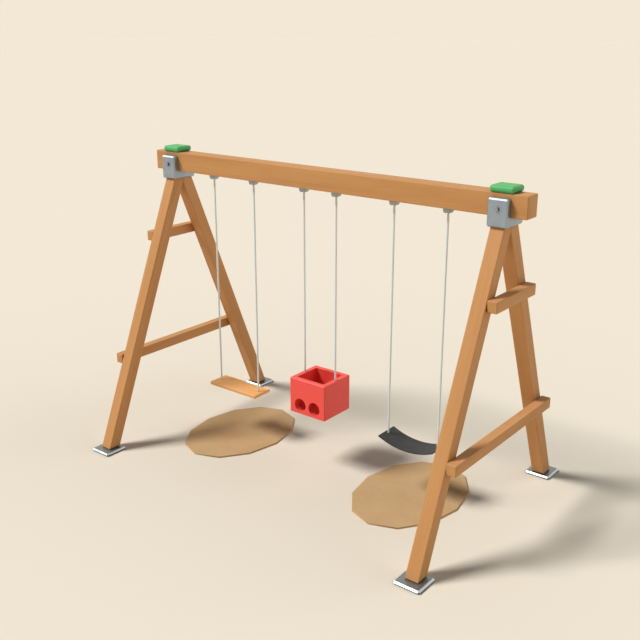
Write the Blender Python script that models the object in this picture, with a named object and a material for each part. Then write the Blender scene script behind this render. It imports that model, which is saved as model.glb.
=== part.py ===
"""Garden swing set: two timber A-frames, one beam, and rope swings with a board, a bucket and a belt seat.

Metres, +Z up, +X along the beam, -Y towards the front. The origin is on the ground under the beam's middle.
"""

import math

import bmesh
import bpy
from mathutils import Matrix, Vector

# Fits
GAP = 0.0003             # between two faces that touch
LEG_POCKET_GAP = 0.0005  # round a leg's top inside its bracket
EYE_SIDE_GAP = 0.0005    # each side of a rope's eye inside its hanger
EYE_ROUND_GAP = 0.0008   # round a rope's eye inside its hanger
SWING_GAP = 0.001        # between a rope and its hanger at the end of the swing
ROPE_HOLE_GAP = 0.0015   # round a rope in a seat's hole
KNOT_ROOM = 0.002       # each side of a knot in the bucket's hollow wall

# Working values
OVERSHOOT = 0.010        # how far a cutter runs out of what it cuts
ON_FACE = 0.001          # how near a point counts as being on a face

# Top beam
BEAM_LENGTH = 3.200
BEAM_DEPTH = 0.129
BEAM_HEIGHT = 0.145
BEAM_TOP = 2.251
BEAM_ROUND = 0.008

# A-frames
BEAM_OVERHANG = 0.176    # beam's end beyond the A-frame's centre
LEG_SIZE = 0.097
LEG_ROUND = 0.006
LEG_FOOT_Y = 0.872       # where a leg's centre line meets its foot plate
CROTCH_BELOW_BRACKET = 0.028

# Foot plates
PLATE_SIDE = 0.191
PLATE_THICK = 0.022
PLATE_BEVEL = 0.010
PLATE_OUTSET = 0.017     # plate's centre beyond the leg's centre
SPIGOT_RADIUS = 0.010
SPIGOT_HEIGHT = 0.055

# Cross braces
BRACE_WIDE = 0.070
BRACE_HIGH = 0.077
BRACE_ROUND = 0.007
UPPER_BRACE_Z = 1.602
LOWER_BRACE_Z = 0.681
UPPER_BRACE_PAST_LEG = 0.038  # brace's end beyond the leg's centre line
LOWER_BRACE_PAST_LEG = 0.052
DOWEL_RADIUS = 0.006
DOWEL_IN_BRACE = 0.040
DOWEL_IN_LEG = 0.050

# Head brackets
BRACKET_SIDE_WALL = 0.020   # beside a leg, along the beam
BRACKET_FRONT_WALL = 0.0165 # in front of a leg, at the bracket's underside
CHEEK_BELOW_BEAM_TOP = 0.028
BASE_DEEP = 0.060
BASE_FLOOR = 0.012
BRACKET_ROUND = 0.007
BOLT_RADIUS = 0.006
BOLT_TIP = 0.002
BOLT_ABOVE_BEAM_BOTTOM = 0.054
BOLT_IN_REAR_CHEEK = 0.030
BOLT_FLANGE_RADIUS = 0.0165
BOLT_FLANGE_THICK = 0.003
BOLT_HEX_RADIUS = 0.0135
BOLT_HEX_HIGH = 0.009
SCREW_RADIUS = 0.005
SCREW_HEAD_RADIUS = 0.010
SCREW_HEAD_RIM = 0.001
SCREW_LENGTH = 0.080

# Beam caps
CAP_LONG = 0.166
CAP_DEEP = 0.146
CAP_THICK = 0.042
CAP_ROUND = 0.016
CAP_STEM_RADIUS = 0.008
CAP_STEM_LENGTH = 0.028

# Hangers, and the pins that the ropes turn on
HANGER_WIDE = 0.058
HANGER_DEEP = 0.064
HANGER_HIGH = 0.036
HANGER_ROUND = 0.012
STUD_RADIUS = 0.005
STUD_HEIGHT = 0.070
PIN_ABOVE_HANGER_BOTTOM = 0.014
PIN_RADIUS = 0.0045
PIN_SET_IN = 0.001       # pin's ends inside the hanger's sides
SWING_LIMIT = math.radians(50.0)

# Ropes
ROPE_RADIUS = 0.007
EYE_WALL = 0.0085        # rope round the pin
EYE_OVER_ROPE = 0.002    # eye wider than the rope
KNOT_OVER_HOLE = 0.004   # knot's radius more than its hole's
KNOT_HIGH = 0.018
ROPE_END = 0.005

# Swings
SWING_SPACING = 0.828    # from the middle swing to each outer one

BOARD_LENGTH = 0.496
BOARD_DEPTH = 0.184
BOARD_THICK = 0.028
BOARD_TOP = 0.415
BOARD_ROPE_INSET = 0.045 # rope's centre from the board's end
BOARD_ROUND = 0.008

BUCKET_WIDE = 0.327
BUCKET_DEEP = 0.311
BUCKET_HIGH = 0.277
BUCKET_TOP = 0.704
BUCKET_WALL = 0.040
BUCKET_FLOOR = 0.018     # top of the basin's floor above the underside
BUCKET_DECK = 0.012      # rim above the hollow walls, and the basin's floor
BUCKET_ROUND = 0.008
LEG_HOLE_RADIUS = 0.0515
LEG_HOLE_SPACING = 0.131
LEG_HOLE_OVER_FLOOR = 0.0035

BELT_LENGTH = 0.447      # straight across, end to end
BELT_DEPTH = 0.197
BELT_THICK = 0.008
BELT_SAG = 0.051
BELT_TOP = 0.433         # top of the two ends
BELT_ROPE_INSET = 0.0195 # rope's centre from the belt's end
BELT_STEPS = 20

# Landing mats
MAT_HALF_X = 0.378
MAT_HALF_Y = 0.525
MAT_THICK = 0.012
MAT_SIDES = 12
MAT_BEVEL = 0.003

# Sizes and places that follow from those above
FRAME_X = BEAM_LENGTH / 2 - BEAM_OVERHANG
BEAM_BOTTOM = BEAM_TOP - BEAM_HEIGHT
BRACKET_FLOOR_TOP = BEAM_BOTTOM - GAP
BRACKET_BOTTOM = BEAM_BOTTOM - BASE_DEEP
BRACKET_WIDE = LEG_SIZE + 2 * BRACKET_SIDE_WALL
CHEEK_TOP = BEAM_TOP - CHEEK_BELOW_BEAM_TOP
CHANNEL_HALF = BEAM_DEPTH / 2 + GAP
BOLT_Z = BEAM_BOTTOM + BOLT_ABOVE_BEAM_BOTTOM
LEG_TOP = BRACKET_FLOOR_TOP - BASE_FLOOR - GAP
LEG_BOTTOM = PLATE_THICK + GAP
CROTCH_Z = BRACKET_BOTTOM - CROTCH_BELOW_BRACKET
PIN_Z = BEAM_BOTTOM - GAP - HANGER_HIGH + PIN_ABOVE_HANGER_BOTTOM
PLATE_Y = LEG_FOOT_Y + PLATE_OUTSET
EYE_RADIUS = PIN_RADIUS + EYE_WALL
EYE_WIDE = 2 * ROPE_RADIUS + EYE_OVER_ROPE
ROPE_HOLE_RADIUS = ROPE_RADIUS + ROPE_HOLE_GAP
KNOT_RADIUS = ROPE_HOLE_RADIUS + KNOT_OVER_HOLE
BOARD_ROPES = BOARD_LENGTH - 2 * BOARD_ROPE_INSET
BUCKET_ROPES = BUCKET_WIDE - BUCKET_WALL
BELT_ROPES = BELT_LENGTH - 2 * BELT_ROPE_INSET
BUCKET_SKIN = BUCKET_WALL / 2 - KNOT_RADIUS - KNOT_ROOM  # each skin of the double walls
LEG_HOLE_HEIGHT = BUCKET_FLOOR + LEG_HOLE_OVER_FLOOR + LEG_HOLE_RADIUS
BRACE_LEVELS = (
    ("upper", UPPER_BRACE_Z, UPPER_BRACE_PAST_LEG),
    ("lower", LOWER_BRACE_Z, LOWER_BRACE_PAST_LEG),
)


def leg_lean():
    """The leg's angle from upright: its inner face starts at the crotch, its centre line ends at the foot."""
    drop = CROTCH_Z - LEG_BOTTOM
    reach = math.hypot(LEG_FOOT_Y, drop)
    return math.acos(LEG_SIZE / 2 / reach) - math.atan2(drop, LEG_FOOT_Y)


LEAN = leg_lean()
LEG_HALF_LEVEL = LEG_SIZE / 2 / math.cos(LEAN)  # half a leg's depth, measured level


def leg_centre_y(z):
    """How far a leg's centre line lies from the beam's middle plane at this height."""
    return LEG_HALF_LEVEL + (CROTCH_Z - z) * math.tan(LEAN)


# Half the bracket along Y, so that its base closes round the legs
BRACKET_HALF_Y = leg_centre_y(BRACKET_BOTTOM) + LEG_HALF_LEVEL + BRACKET_FRONT_WALL
SCREW_Y = (leg_centre_y(LEG_TOP) + LEG_HALF_LEVEL) / 2  # middle of a leg's top


def make_material(name, colour, roughness, metallic=0.0):
    material = bpy.data.materials.new(name)
    material.use_nodes = True
    shader = material.node_tree.nodes["Principled BSDF"]
    shader.inputs["Base Color"].default_value = (*colour, 1.0)
    shader.inputs["Roughness"].default_value = roughness
    shader.inputs["Metallic"].default_value = metallic
    return material


def clear_scene():
    for obj in list(bpy.data.objects):
        bpy.data.objects.remove(obj)


def add_object(name, bm, material=None, smooth=False):
    """Turns a bmesh into an object of the scene, its faces pointing out."""
    bmesh.ops.recalc_face_normals(bm, faces=bm.faces)
    mesh = bpy.data.meshes.new(name)
    bm.to_mesh(mesh)
    bm.free()
    if smooth:
        mesh.shade_smooth()
        mesh.set_sharp_from_angle(angle=math.radians(40))
    obj = bpy.data.objects.new(name, mesh)
    bpy.context.scene.collection.objects.link(obj)
    if material is not None:
        mesh.materials.append(material)
    return obj


def place(obj, location, parent=None):
    obj.location = location
    if parent is not None:
        obj.parent = parent
        obj.matrix_parent_inverse = parent.matrix_world.inverted()
    return obj


def box_bmesh(size, centre=(0, 0, 0)):
    bm = bmesh.new()
    matrix = Matrix.Translation(centre) @ Matrix.Diagonal((*size, 1))
    bmesh.ops.create_cube(bm, size=1.0, matrix=matrix)
    return bm


def prism_bmesh(outline, axis, half):
    """A flat outline, given as pairs, drawn out along X (pairs are Y, Z) or along Y (pairs are X, Z)."""
    bm = bmesh.new()
    low = []
    for first, second in outline:
        point = (-half, first, second) if axis == "X" else (first, -half, second)
        low.append(bm.verts.new(point))
    face = bm.faces.new(low)
    drawn = bmesh.ops.extrude_face_region(bm, geom=[face])
    moved = [item for item in drawn["geom"] if isinstance(item, bmesh.types.BMVert)]
    shift = (2 * half, 0, 0) if axis == "X" else (0, 2 * half, 0)
    bmesh.ops.translate(bm, verts=moved, vec=shift)
    return bm


def turned_bmesh(profile, steps, axis="Z"):
    """A profile of (radius, height) pairs from axis to axis, turned round Z and then laid along the axis."""
    bm = bmesh.new()
    verts = [bm.verts.new((radius, 0, height)) for radius, height in profile]
    edges = [bm.edges.new(pair) for pair in zip(verts, verts[1:])]
    bmesh.ops.spin(
        bm, geom=verts + edges, cent=(0, 0, 0), axis=(0, 0, 1), angle=2 * math.pi, steps=steps, use_merge=True
    )
    bmesh.ops.remove_doubles(bm, verts=bm.verts, dist=0.00002)
    if axis == "X":
        bmesh.ops.rotate(bm, verts=bm.verts, matrix=Matrix.Rotation(math.pi / 2, 3, "Y"))
    if axis == "Y":
        bmesh.ops.rotate(bm, verts=bm.verts, matrix=Matrix.Rotation(-math.pi / 2, 3, "X"))
    return bm


def cylinder_bmesh(radius, start, end, steps=16, axis="Z"):
    """A plain cylinder along the axis, between two distances on it."""
    return turned_bmesh([(0, start), (radius, start), (radius, end), (0, end)], steps, axis)


def bevel_edges(bm, width, segments, keep=lambda middle: True):
    """Rounds each edge between unlike faces whose middle point the test keeps."""
    edges = []
    for edge in bm.edges:
        middle = (edge.verts[0].co + edge.verts[1].co) / 2
        if edge.calc_face_angle(0.0) > math.radians(20) and keep(middle):
            edges.append(edge)
    bmesh.ops.bevel(
        bm, geom=edges, offset=width, offset_type="OFFSET", segments=segments, profile=0.5, affect="EDGES"
    )


def combine(obj, tool, operation):
    """Cuts with or joins on a hidden helper object."""
    tool.hide_render = True
    tool.display_type = "WIRE"
    tool.parent = obj.parent
    if obj.parent is not None:
        tool.matrix_parent_inverse = obj.parent.matrix_world.inverted()
    modifier = obj.modifiers.new(tool.name, "BOOLEAN")
    modifier.operation = operation
    modifier.solver = "EXACT"
    modifier.object = tool


def cut(obj, name, bm, location=(0, 0, 0)):
    combine(obj, place(add_object(name, bm), location), "DIFFERENCE")


def join(obj, name, bm, location=(0, 0, 0)):
    combine(obj, place(add_object(name, bm), location), "UNION")


def build_beam(wood, hanger_places):
    bm = box_bmesh((BEAM_LENGTH, BEAM_DEPTH, BEAM_HEIGHT))
    bevel_edges(bm, BEAM_ROUND, 2)
    beam = place(add_object("top_beam", bm, wood), (0, 0, BEAM_TOP - BEAM_HEIGHT / 2))
    for number, x in enumerate(hanger_places):
        hole = cylinder_bmesh(STUD_RADIUS + GAP, -OVERSHOOT, STUD_HEIGHT + GAP, 12)
        cut(beam, f"beam_stud_cutter_{number}", hole, (x, 0, BEAM_BOTTOM))
    for side, x in (("left", -FRAME_X), ("right", FRAME_X)):
        through = cylinder_bmesh(BOLT_RADIUS + GAP, -BEAM_DEPTH, BEAM_DEPTH, axis="Y")
        cut(beam, f"beam_bolt_cutter_{side}", through, (x, 0, BOLT_Z))
        stem = cylinder_bmesh(CAP_STEM_RADIUS + GAP, -CAP_STEM_LENGTH - GAP, OVERSHOOT)
        cut(beam, f"beam_cap_cutter_{side}", stem, (x, 0, BEAM_TOP))


def bracket_outline():
    """The saddle seen along the beam: two cheeks and the base between them."""
    return [
        (-BRACKET_HALF_Y, BRACKET_BOTTOM),
        (BRACKET_HALF_Y, BRACKET_BOTTOM),
        (BRACKET_HALF_Y, CHEEK_TOP),
        (CHANNEL_HALF, CHEEK_TOP),
        (CHANNEL_HALF, BRACKET_FLOOR_TOP),
        (-CHANNEL_HALF, BRACKET_FLOOR_TOP),
        (-CHANNEL_HALF, CHEEK_TOP),
        (-BRACKET_HALF_Y, CHEEK_TOP),
    ]


def leg_pocket_outline():
    """Both leg tops together, seen along the beam, with their gap, and open below the bracket."""
    low = BRACKET_BOTTOM - OVERSHOOT
    high = LEG_TOP + GAP
    reach = LEG_HALF_LEVEL + LEG_POCKET_GAP
    return [
        (-leg_centre_y(low) - reach, low),
        (leg_centre_y(low) + reach, low),
        (leg_centre_y(high) + reach, high),
        (-leg_centre_y(high) - reach, high),
    ]


def screw_profile(extra=0.0, above=0.0):
    """Countersunk screw, head up at height 0. Its hole is wider by extra and runs out above the head."""
    head_deep = SCREW_HEAD_RADIUS - SCREW_RADIUS
    return [
        (0, -SCREW_LENGTH - extra),
        (SCREW_RADIUS * 0.5 + extra, -SCREW_LENGTH - extra),
        (SCREW_RADIUS + extra, -SCREW_LENGTH + SCREW_RADIUS - extra),
        (SCREW_RADIUS + extra, -head_deep - SCREW_HEAD_RIM),
        (SCREW_HEAD_RADIUS + extra, -SCREW_HEAD_RIM),
        (SCREW_HEAD_RADIUS + extra, above),
        (0, above),
    ]


def build_bracket(side, x, metal):
    bm = prism_bmesh(bracket_outline(), "X", BRACKET_WIDE / 2)

    def outside(middle):
        return abs(middle.y) > CHANNEL_HALF + ON_FACE or middle.z < BRACKET_FLOOR_TOP - ON_FACE

    bevel_edges(bm, BRACKET_ROUND, 2, outside)
    bracket = place(add_object(f"head_bracket_{side}", bm, metal, smooth=True), (x, 0, 0))
    pocket = prism_bmesh(leg_pocket_outline(), "X", LEG_SIZE / 2 + LEG_POCKET_GAP)
    cut(bracket, f"bracket_pocket_cutter_{side}", pocket, (x, 0, 0))
    front = -BRACKET_HALF_Y - OVERSHOOT
    rear = CHANNEL_HALF + BOLT_IN_REAR_CHEEK + GAP
    bolt = cylinder_bmesh(BOLT_RADIUS + GAP, front, rear, axis="Y")
    cut(bracket, f"bracket_bolt_cutter_{side}", bolt, (x, 0, BOLT_Z))
    for end, y in (("front", -SCREW_Y), ("rear", SCREW_Y)):
        hole = turned_bmesh(screw_profile(GAP, OVERSHOOT), 16)
        cut(bracket, f"bracket_screw_cutter_{side}_{end}", hole, (x, y, BRACKET_FLOOR_TOP - GAP))


def build_bracket_bolt(side, x, steel):
    """Flanged hexagon bolt along Y. Its shank ends in the rear cheek's thread."""
    seat = -BRACKET_HALF_Y - GAP
    tip = CHANNEL_HALF + BOLT_IN_REAR_CHEEK
    profile = [
        (0, seat - BOLT_FLANGE_THICK),
        (BOLT_FLANGE_RADIUS, seat - BOLT_FLANGE_THICK),
        (BOLT_FLANGE_RADIUS, seat),
        (BOLT_RADIUS, seat),
        (BOLT_RADIUS, tip - BOLT_TIP),
        (BOLT_RADIUS - BOLT_TIP, tip),
        (0, tip),
    ]
    bm = turned_bmesh(profile, 20, "Y")
    bolt = place(add_object(f"bracket_bolt_{side}", bm, steel, smooth=True), (x, 0, BOLT_Z))
    outer = seat - BOLT_FLANGE_THICK - BOLT_HEX_HIGH
    hexagon = cylinder_bmesh(BOLT_HEX_RADIUS, outer, seat - BOLT_FLANGE_THICK / 2, 6, "Y")
    join(bolt, f"bolt_hexagon_{side}", hexagon, (x, 0, BOLT_Z))


def build_leg_screw(side, end, x, y, steel):
    top = BRACKET_FLOOR_TOP - GAP
    bm = turned_bmesh(screw_profile(), 16)
    place(add_object(f"leg_screw_{side}_{end}", bm, steel, smooth=True), (x, y, top))


def leg_outline(sign):
    """A leg seen along the beam: level at foot and top, upright where it meets its partner."""
    middle = GAP / 2
    outline = [
        (leg_centre_y(LEG_BOTTOM) - LEG_HALF_LEVEL, LEG_BOTTOM),
        (leg_centre_y(LEG_BOTTOM) + LEG_HALF_LEVEL, LEG_BOTTOM),
        (leg_centre_y(LEG_TOP) + LEG_HALF_LEVEL, LEG_TOP),
        (middle, LEG_TOP),
        (middle, CROTCH_Z - middle / math.tan(LEAN)),
    ]
    return [(sign * y, z) for y, z in outline]


def build_leg(side, end, x, outward, sign, wood):
    """outward is the side of the A-frame that its braces are on, sign is the side of the beam."""
    bm = prism_bmesh(leg_outline(sign), "X", LEG_SIZE / 2)
    bevel_edges(bm, LEG_ROUND, 2)
    leg = place(add_object(f"leg_{side}_{end}", bm, wood), (x, 0, 0))
    screw = turned_bmesh(screw_profile(GAP, OVERSHOOT), 16)
    cut(leg, f"leg_screw_cutter_{side}_{end}", screw, (x, sign * SCREW_Y, BRACKET_FLOOR_TOP - GAP))
    spigot = cylinder_bmesh(SPIGOT_RADIUS + GAP, -OVERSHOOT, SPIGOT_HEIGHT + GAP)
    cut(leg, f"leg_spigot_cutter_{side}_{end}", spigot, (x, sign * spigot_y(), PLATE_THICK))
    for level, z, _past_leg in BRACE_LEVELS:
        dowel = cylinder_bmesh(DOWEL_RADIUS + GAP, -DOWEL_IN_LEG - GAP, OVERSHOOT, 12, "X")
        if outward < 0:
            bmesh.ops.rotate(dowel, verts=dowel.verts, matrix=Matrix.Rotation(math.pi, 3, "Z"))
        face_x = x + outward * LEG_SIZE / 2
        cut(leg, f"leg_dowel_cutter_{side}_{end}_{level}", dowel, (face_x, sign * leg_centre_y(z), z))


def spigot_y():
    """The spigot stands upright, so it is centred on the leg half way up itself."""
    return leg_centre_y(PLATE_THICK + SPIGOT_HEIGHT / 2)


def build_foot_plate(side, end, x, sign, metal):
    bm = box_bmesh((PLATE_SIDE, PLATE_SIDE, PLATE_THICK))
    bevel_edges(bm, PLATE_BEVEL, 1)
    location = (x, sign * PLATE_Y, PLATE_THICK / 2)
    plate = place(add_object(f"foot_plate_{side}_{end}", bm, metal), location)
    spigot = cylinder_bmesh(SPIGOT_RADIUS, -PLATE_THICK / 2, SPIGOT_HEIGHT)
    join(plate, f"plate_spigot_{side}_{end}", spigot, (x, sign * spigot_y(), PLATE_THICK))


def build_brace(side, level, outward, z, past_leg, wood):
    inner_x = outward * (FRAME_X + LEG_SIZE / 2 + GAP)
    bm = box_bmesh((BRACE_WIDE, 2 * (leg_centre_y(z) + past_leg), BRACE_HIGH))
    bevel_edges(bm, BRACE_ROUND, 2)
    centre = (inner_x + outward * BRACE_WIDE / 2, 0, z)
    brace = place(add_object(f"brace_{side}_{level}", bm, wood), centre)
    for end, sign in (("front", -1), ("rear", 1)):
        dowel = cylinder_bmesh(DOWEL_RADIUS + GAP, -OVERSHOOT, DOWEL_IN_BRACE + GAP, 12, "X")
        if outward < 0:
            bmesh.ops.rotate(dowel, verts=dowel.verts, matrix=Matrix.Rotation(math.pi, 3, "Z"))
        cut(brace, f"brace_dowel_cutter_{side}_{level}_{end}", dowel, (inner_x, sign * leg_centre_y(z), z))


def build_dowel(side, level, end, outward, sign, z, steel):
    """Double-ended wood screw between a leg and a brace."""
    point = DOWEL_RADIUS / 2
    profile = [
        (0, -DOWEL_IN_LEG),
        (point, -DOWEL_IN_LEG),
        (DOWEL_RADIUS, -DOWEL_IN_LEG + point),
        (DOWEL_RADIUS, DOWEL_IN_BRACE - point),
        (point, DOWEL_IN_BRACE),
        (0, DOWEL_IN_BRACE),
    ]
    bm = turned_bmesh(profile, 12, "X")
    if outward < 0:
        bmesh.ops.rotate(bm, verts=bm.verts, matrix=Matrix.Rotation(math.pi, 3, "Z"))
    location = (outward * (FRAME_X + LEG_SIZE / 2), sign * leg_centre_y(z), z)
    place(add_object(f"brace_dowel_{side}_{level}_{end}", bm, steel, smooth=True), location)


def build_a_frame(side, outward, materials):
    x = outward * FRAME_X
    build_bracket(side, x, materials["bracket"])
    build_bracket_bolt(side, x, materials["steel"])
    for end, sign in (("front", -1), ("rear", 1)):
        build_leg(side, end, x, outward, sign, materials["wood"])
        build_foot_plate(side, end, x, sign, materials["plate"])
        build_leg_screw(side, end, x, sign * SCREW_Y, materials["steel"])
    for level, z, past_leg in BRACE_LEVELS:
        build_brace(side, level, outward, z, past_leg, materials["wood"])
        for end, sign in (("front", -1), ("rear", 1)):
            build_dowel(side, level, end, outward, sign, z, materials["steel"])


def build_cap(side, x, plastic):
    bm = box_bmesh((CAP_LONG, CAP_DEEP, CAP_THICK))
    bevel_edges(bm, CAP_ROUND, 4)
    location = (x, 0, BEAM_TOP + GAP + CAP_THICK / 2)
    cap = place(add_object(f"beam_cap_{side}", bm, plastic, smooth=True), location)
    stem = cylinder_bmesh(CAP_STEM_RADIUS, -CAP_STEM_LENGTH, CAP_THICK / 2)
    join(cap, f"cap_stem_{side}", stem, (x, 0, BEAM_TOP))


def swing_room_outline():
    """The space that a rope sweeps below its pin, seen along the beam, pin at (0, 0)."""
    reach = HANGER_DEEP + HANGER_HIGH
    offset = ROPE_RADIUS + SWING_GAP
    near = Vector((offset * math.cos(SWING_LIMIT), offset * math.sin(SWING_LIMIT)))
    far = near + reach * Vector((math.sin(SWING_LIMIT), -math.cos(SWING_LIMIT)))
    return [(-near.x, near.y), (-far.x, far.y), (far.x, far.y), (near.x, near.y)]


def build_hanger(name, x, metal):
    """Block under the beam with a stud that screws up into it, hollow where the rope's eye swings."""
    top = BEAM_BOTTOM - GAP
    bm = box_bmesh((HANGER_WIDE, HANGER_DEEP, HANGER_HIGH))
    bevel_edges(bm, HANGER_ROUND, 3, lambda middle: middle.z < ON_FACE - HANGER_HIGH / 2)
    hanger = place(add_object(f"hanger_{name}", bm, metal, smooth=True), (x, 0, top - HANGER_HIGH / 2))
    stud = cylinder_bmesh(STUD_RADIUS, -HANGER_ROUND, STUD_HEIGHT, 12)
    join(hanger, f"hanger_stud_{name}", stud, (x, 0, top))
    half = EYE_WIDE / 2 + EYE_SIDE_GAP
    room = cylinder_bmesh(EYE_RADIUS + EYE_ROUND_GAP, -half, half, 24, "X")
    cut(hanger, f"hanger_eye_cutter_{name}", room, (x, 0, PIN_Z))
    sweep = prism_bmesh(swing_room_outline(), "X", ROPE_RADIUS + SWING_GAP)
    cut(hanger, f"hanger_swing_cutter_{name}", sweep, (x, 0, PIN_Z))
    bore = cylinder_bmesh(PIN_RADIUS + GAP, -HANGER_WIDE, HANGER_WIDE, axis="X")
    cut(hanger, f"hanger_bore_cutter_{name}", bore, (x, 0, PIN_Z))


def build_hanger_pin(name, x, steel):
    half = HANGER_WIDE / 2 - PIN_SET_IN
    bm = cylinder_bmesh(PIN_RADIUS, -half, half, axis="X")
    place(add_object(f"hanger_pin_{name}", bm, steel, smooth=True), (x, 0, PIN_Z))


def build_rope(name, x, seat_z, swing, rope):
    """Straight rope with an eye at its pin. Its lower end is round about the seat's tilt axis."""
    length = PIN_Z - seat_z
    profile = [(0, 0.0), (ROPE_RADIUS, 0.0), (ROPE_RADIUS, -length)]
    for step in range(1, 4):
        turn = step * math.pi / 8
        profile.append((ROPE_RADIUS * math.cos(turn), -length - ROPE_RADIUS * math.sin(turn)))
    profile.append((0, -length - ROPE_RADIUS))
    profile.reverse()
    obj = add_object(f"rope_{name}", turned_bmesh(profile, 12), rope, smooth=True)
    place(obj, (x, 0, PIN_Z), swing)
    eye = cylinder_bmesh(EYE_RADIUS, -EYE_WIDE / 2, EYE_WIDE / 2, 24, "X")
    join(obj, f"rope_eye_{name}", eye, (x, 0, PIN_Z))
    bore = cylinder_bmesh(PIN_RADIUS + GAP, -EYE_WIDE, EYE_WIDE, axis="X")
    cut(obj, f"rope_bore_cutter_{name}", bore, (x, 0, PIN_Z))


def build_rope_tail(name, location, through, tilt, seat, rope):
    """The rope's end in the seat's hole, with its stopper knot. through is the seat's thickness there."""
    shoulder = -through - GAP
    foot = shoulder - KNOT_HIGH
    profile = [
        (0, foot - ROPE_END),
        (ROPE_RADIUS * 0.9, foot - ROPE_END),
        (ROPE_RADIUS, foot),
        (KNOT_RADIUS * 0.85, foot + KNOT_HIGH * 0.15),
        (KNOT_RADIUS, foot + KNOT_HIGH * 0.5),
        (KNOT_RADIUS * 0.88, shoulder),
        (ROPE_RADIUS, shoulder),
        (ROPE_RADIUS, -ROPE_RADIUS - GAP),
        (0, -ROPE_RADIUS - GAP),
    ]
    bm = turned_bmesh(profile, 12)
    bmesh.ops.rotate(bm, verts=bm.verts, matrix=Matrix.Rotation(tilt, 3, "Y"))
    place(add_object(f"rope_tail_{name}", bm, rope, smooth=True), location, seat)


def make_pivot(name, location, parent=None):
    """An empty on a joint's axis."""
    empty = bpy.data.objects.new(name, None)
    bpy.context.scene.collection.objects.link(empty)
    place(empty, location, parent)
    bpy.context.view_layer.update()
    return empty


def build_board(centre_x, seat, wood):
    bm = box_bmesh((BOARD_LENGTH, BOARD_DEPTH, BOARD_THICK))
    bevel_edges(bm, BOARD_ROUND, 2)
    centre = (centre_x, 0, BOARD_TOP - BOARD_THICK / 2)
    board = place(add_object("board_seat", bm, wood, smooth=True), centre, seat)
    for side, sign in (("left", -1), ("right", 1)):
        hole = cylinder_bmesh(ROPE_HOLE_RADIUS, -BOARD_THICK, BOARD_THICK)
        cut(board, f"board_hole_cutter_{side}", hole, (centre_x + sign * BOARD_ROPES / 2, 0, centre[2]))


def build_bucket(centre_x, seat, plastic):
    """A double-walled moulded box seat. It is open below between its walls, where the ropes are knotted."""
    bm = box_bmesh((BUCKET_WIDE, BUCKET_DEEP, BUCKET_HIGH))
    bevel_edges(bm, BUCKET_ROUND, 2)
    bottom = BUCKET_TOP - BUCKET_HIGH
    centre = (centre_x, 0, BUCKET_TOP - BUCKET_HIGH / 2)
    bucket = place(add_object("bucket_seat", bm, plastic, smooth=True), centre, seat)

    low = bottom - OVERSHOOT
    high = BUCKET_TOP - BUCKET_DECK
    hollow = box_bmesh((BUCKET_WIDE - 2 * BUCKET_SKIN, BUCKET_DEEP - 2 * BUCKET_SKIN, high - low))
    cut(bucket, "bucket_hollow_cutter", hollow, (centre_x, 0, (low + high) / 2))

    inside = (BUCKET_WIDE - 2 * BUCKET_WALL, BUCKET_DEEP - 2 * BUCKET_WALL)
    basin_low = bottom + BUCKET_FLOOR - BUCKET_DECK
    basin_high = BUCKET_TOP - BUCKET_DECK / 2
    basin_size = (inside[0] + 2 * BUCKET_SKIN, inside[1] + 2 * BUCKET_SKIN, basin_high - basin_low)
    join(bucket, "bucket_basin", box_bmesh(basin_size), (centre_x, 0, (basin_low + basin_high) / 2))

    wall_y = (BUCKET_WALL - BUCKET_DEEP) / 2
    tube_half = (BUCKET_WALL - BUCKET_SKIN) / 2
    holes = [centre_x + sign * LEG_HOLE_SPACING / 2 for sign in (-1, 1)]
    for number, hole_x in enumerate(holes):
        tube = cylinder_bmesh(LEG_HOLE_RADIUS + BUCKET_SKIN, -tube_half, tube_half, 28, "Y")
        join(bucket, f"bucket_leg_tube_{number}", tube, (hole_x, wall_y, bottom + LEG_HOLE_HEIGHT))

    cavity = box_bmesh((*inside, BUCKET_HIGH), (0, 0, BUCKET_FLOOR))
    bevel_edges(cavity, BUCKET_ROUND, 2, lambda middle: middle.z < BUCKET_HIGH / 2)
    cut(bucket, "bucket_cavity_cutter", cavity, centre)
    for number, hole_x in enumerate(holes):
        leg_hole = cylinder_bmesh(LEG_HOLE_RADIUS, -BUCKET_WALL, BUCKET_WALL, 28, "Y")
        cut(bucket, f"bucket_leg_hole_cutter_{number}", leg_hole, (hole_x, wall_y, bottom + LEG_HOLE_HEIGHT))
    for side, sign in (("left", -1), ("right", 1)):
        rope_x = centre_x + sign * BUCKET_ROPES / 2
        rope_hole = cylinder_bmesh(ROPE_HOLE_RADIUS, -2 * BUCKET_DECK, BUCKET_DECK)
        cut(bucket, f"bucket_rope_cutter_{side}", rope_hole, (rope_x, 0, BUCKET_TOP))


def belt_radius():
    """Radius of the belt's upper face, from its span and its sag."""
    half = BELT_LENGTH / 2
    return (half * half + BELT_SAG * BELT_SAG) / (2 * BELT_SAG)


def belt_angle(x):
    """Slope of the belt at a distance from its middle."""
    return math.asin(x / belt_radius())


def belt_height(x):
    """Height of the belt's upper face at a distance from its middle."""
    radius = belt_radius()
    return BELT_TOP - BELT_SAG + radius - math.sqrt(radius * radius - x * x)


def belt_outline():
    centre_z = BELT_TOP - BELT_SAG + belt_radius()
    limit = belt_angle(BELT_LENGTH / 2)
    outline = []
    for radius, direction in ((belt_radius(), 1), (belt_radius() + BELT_THICK, -1)):
        for step in range(BELT_STEPS + 1):
            turn = direction * limit * (2 * step / BELT_STEPS - 1)
            outline.append((radius * math.sin(turn), centre_z - radius * math.cos(turn)))
    return outline


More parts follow.
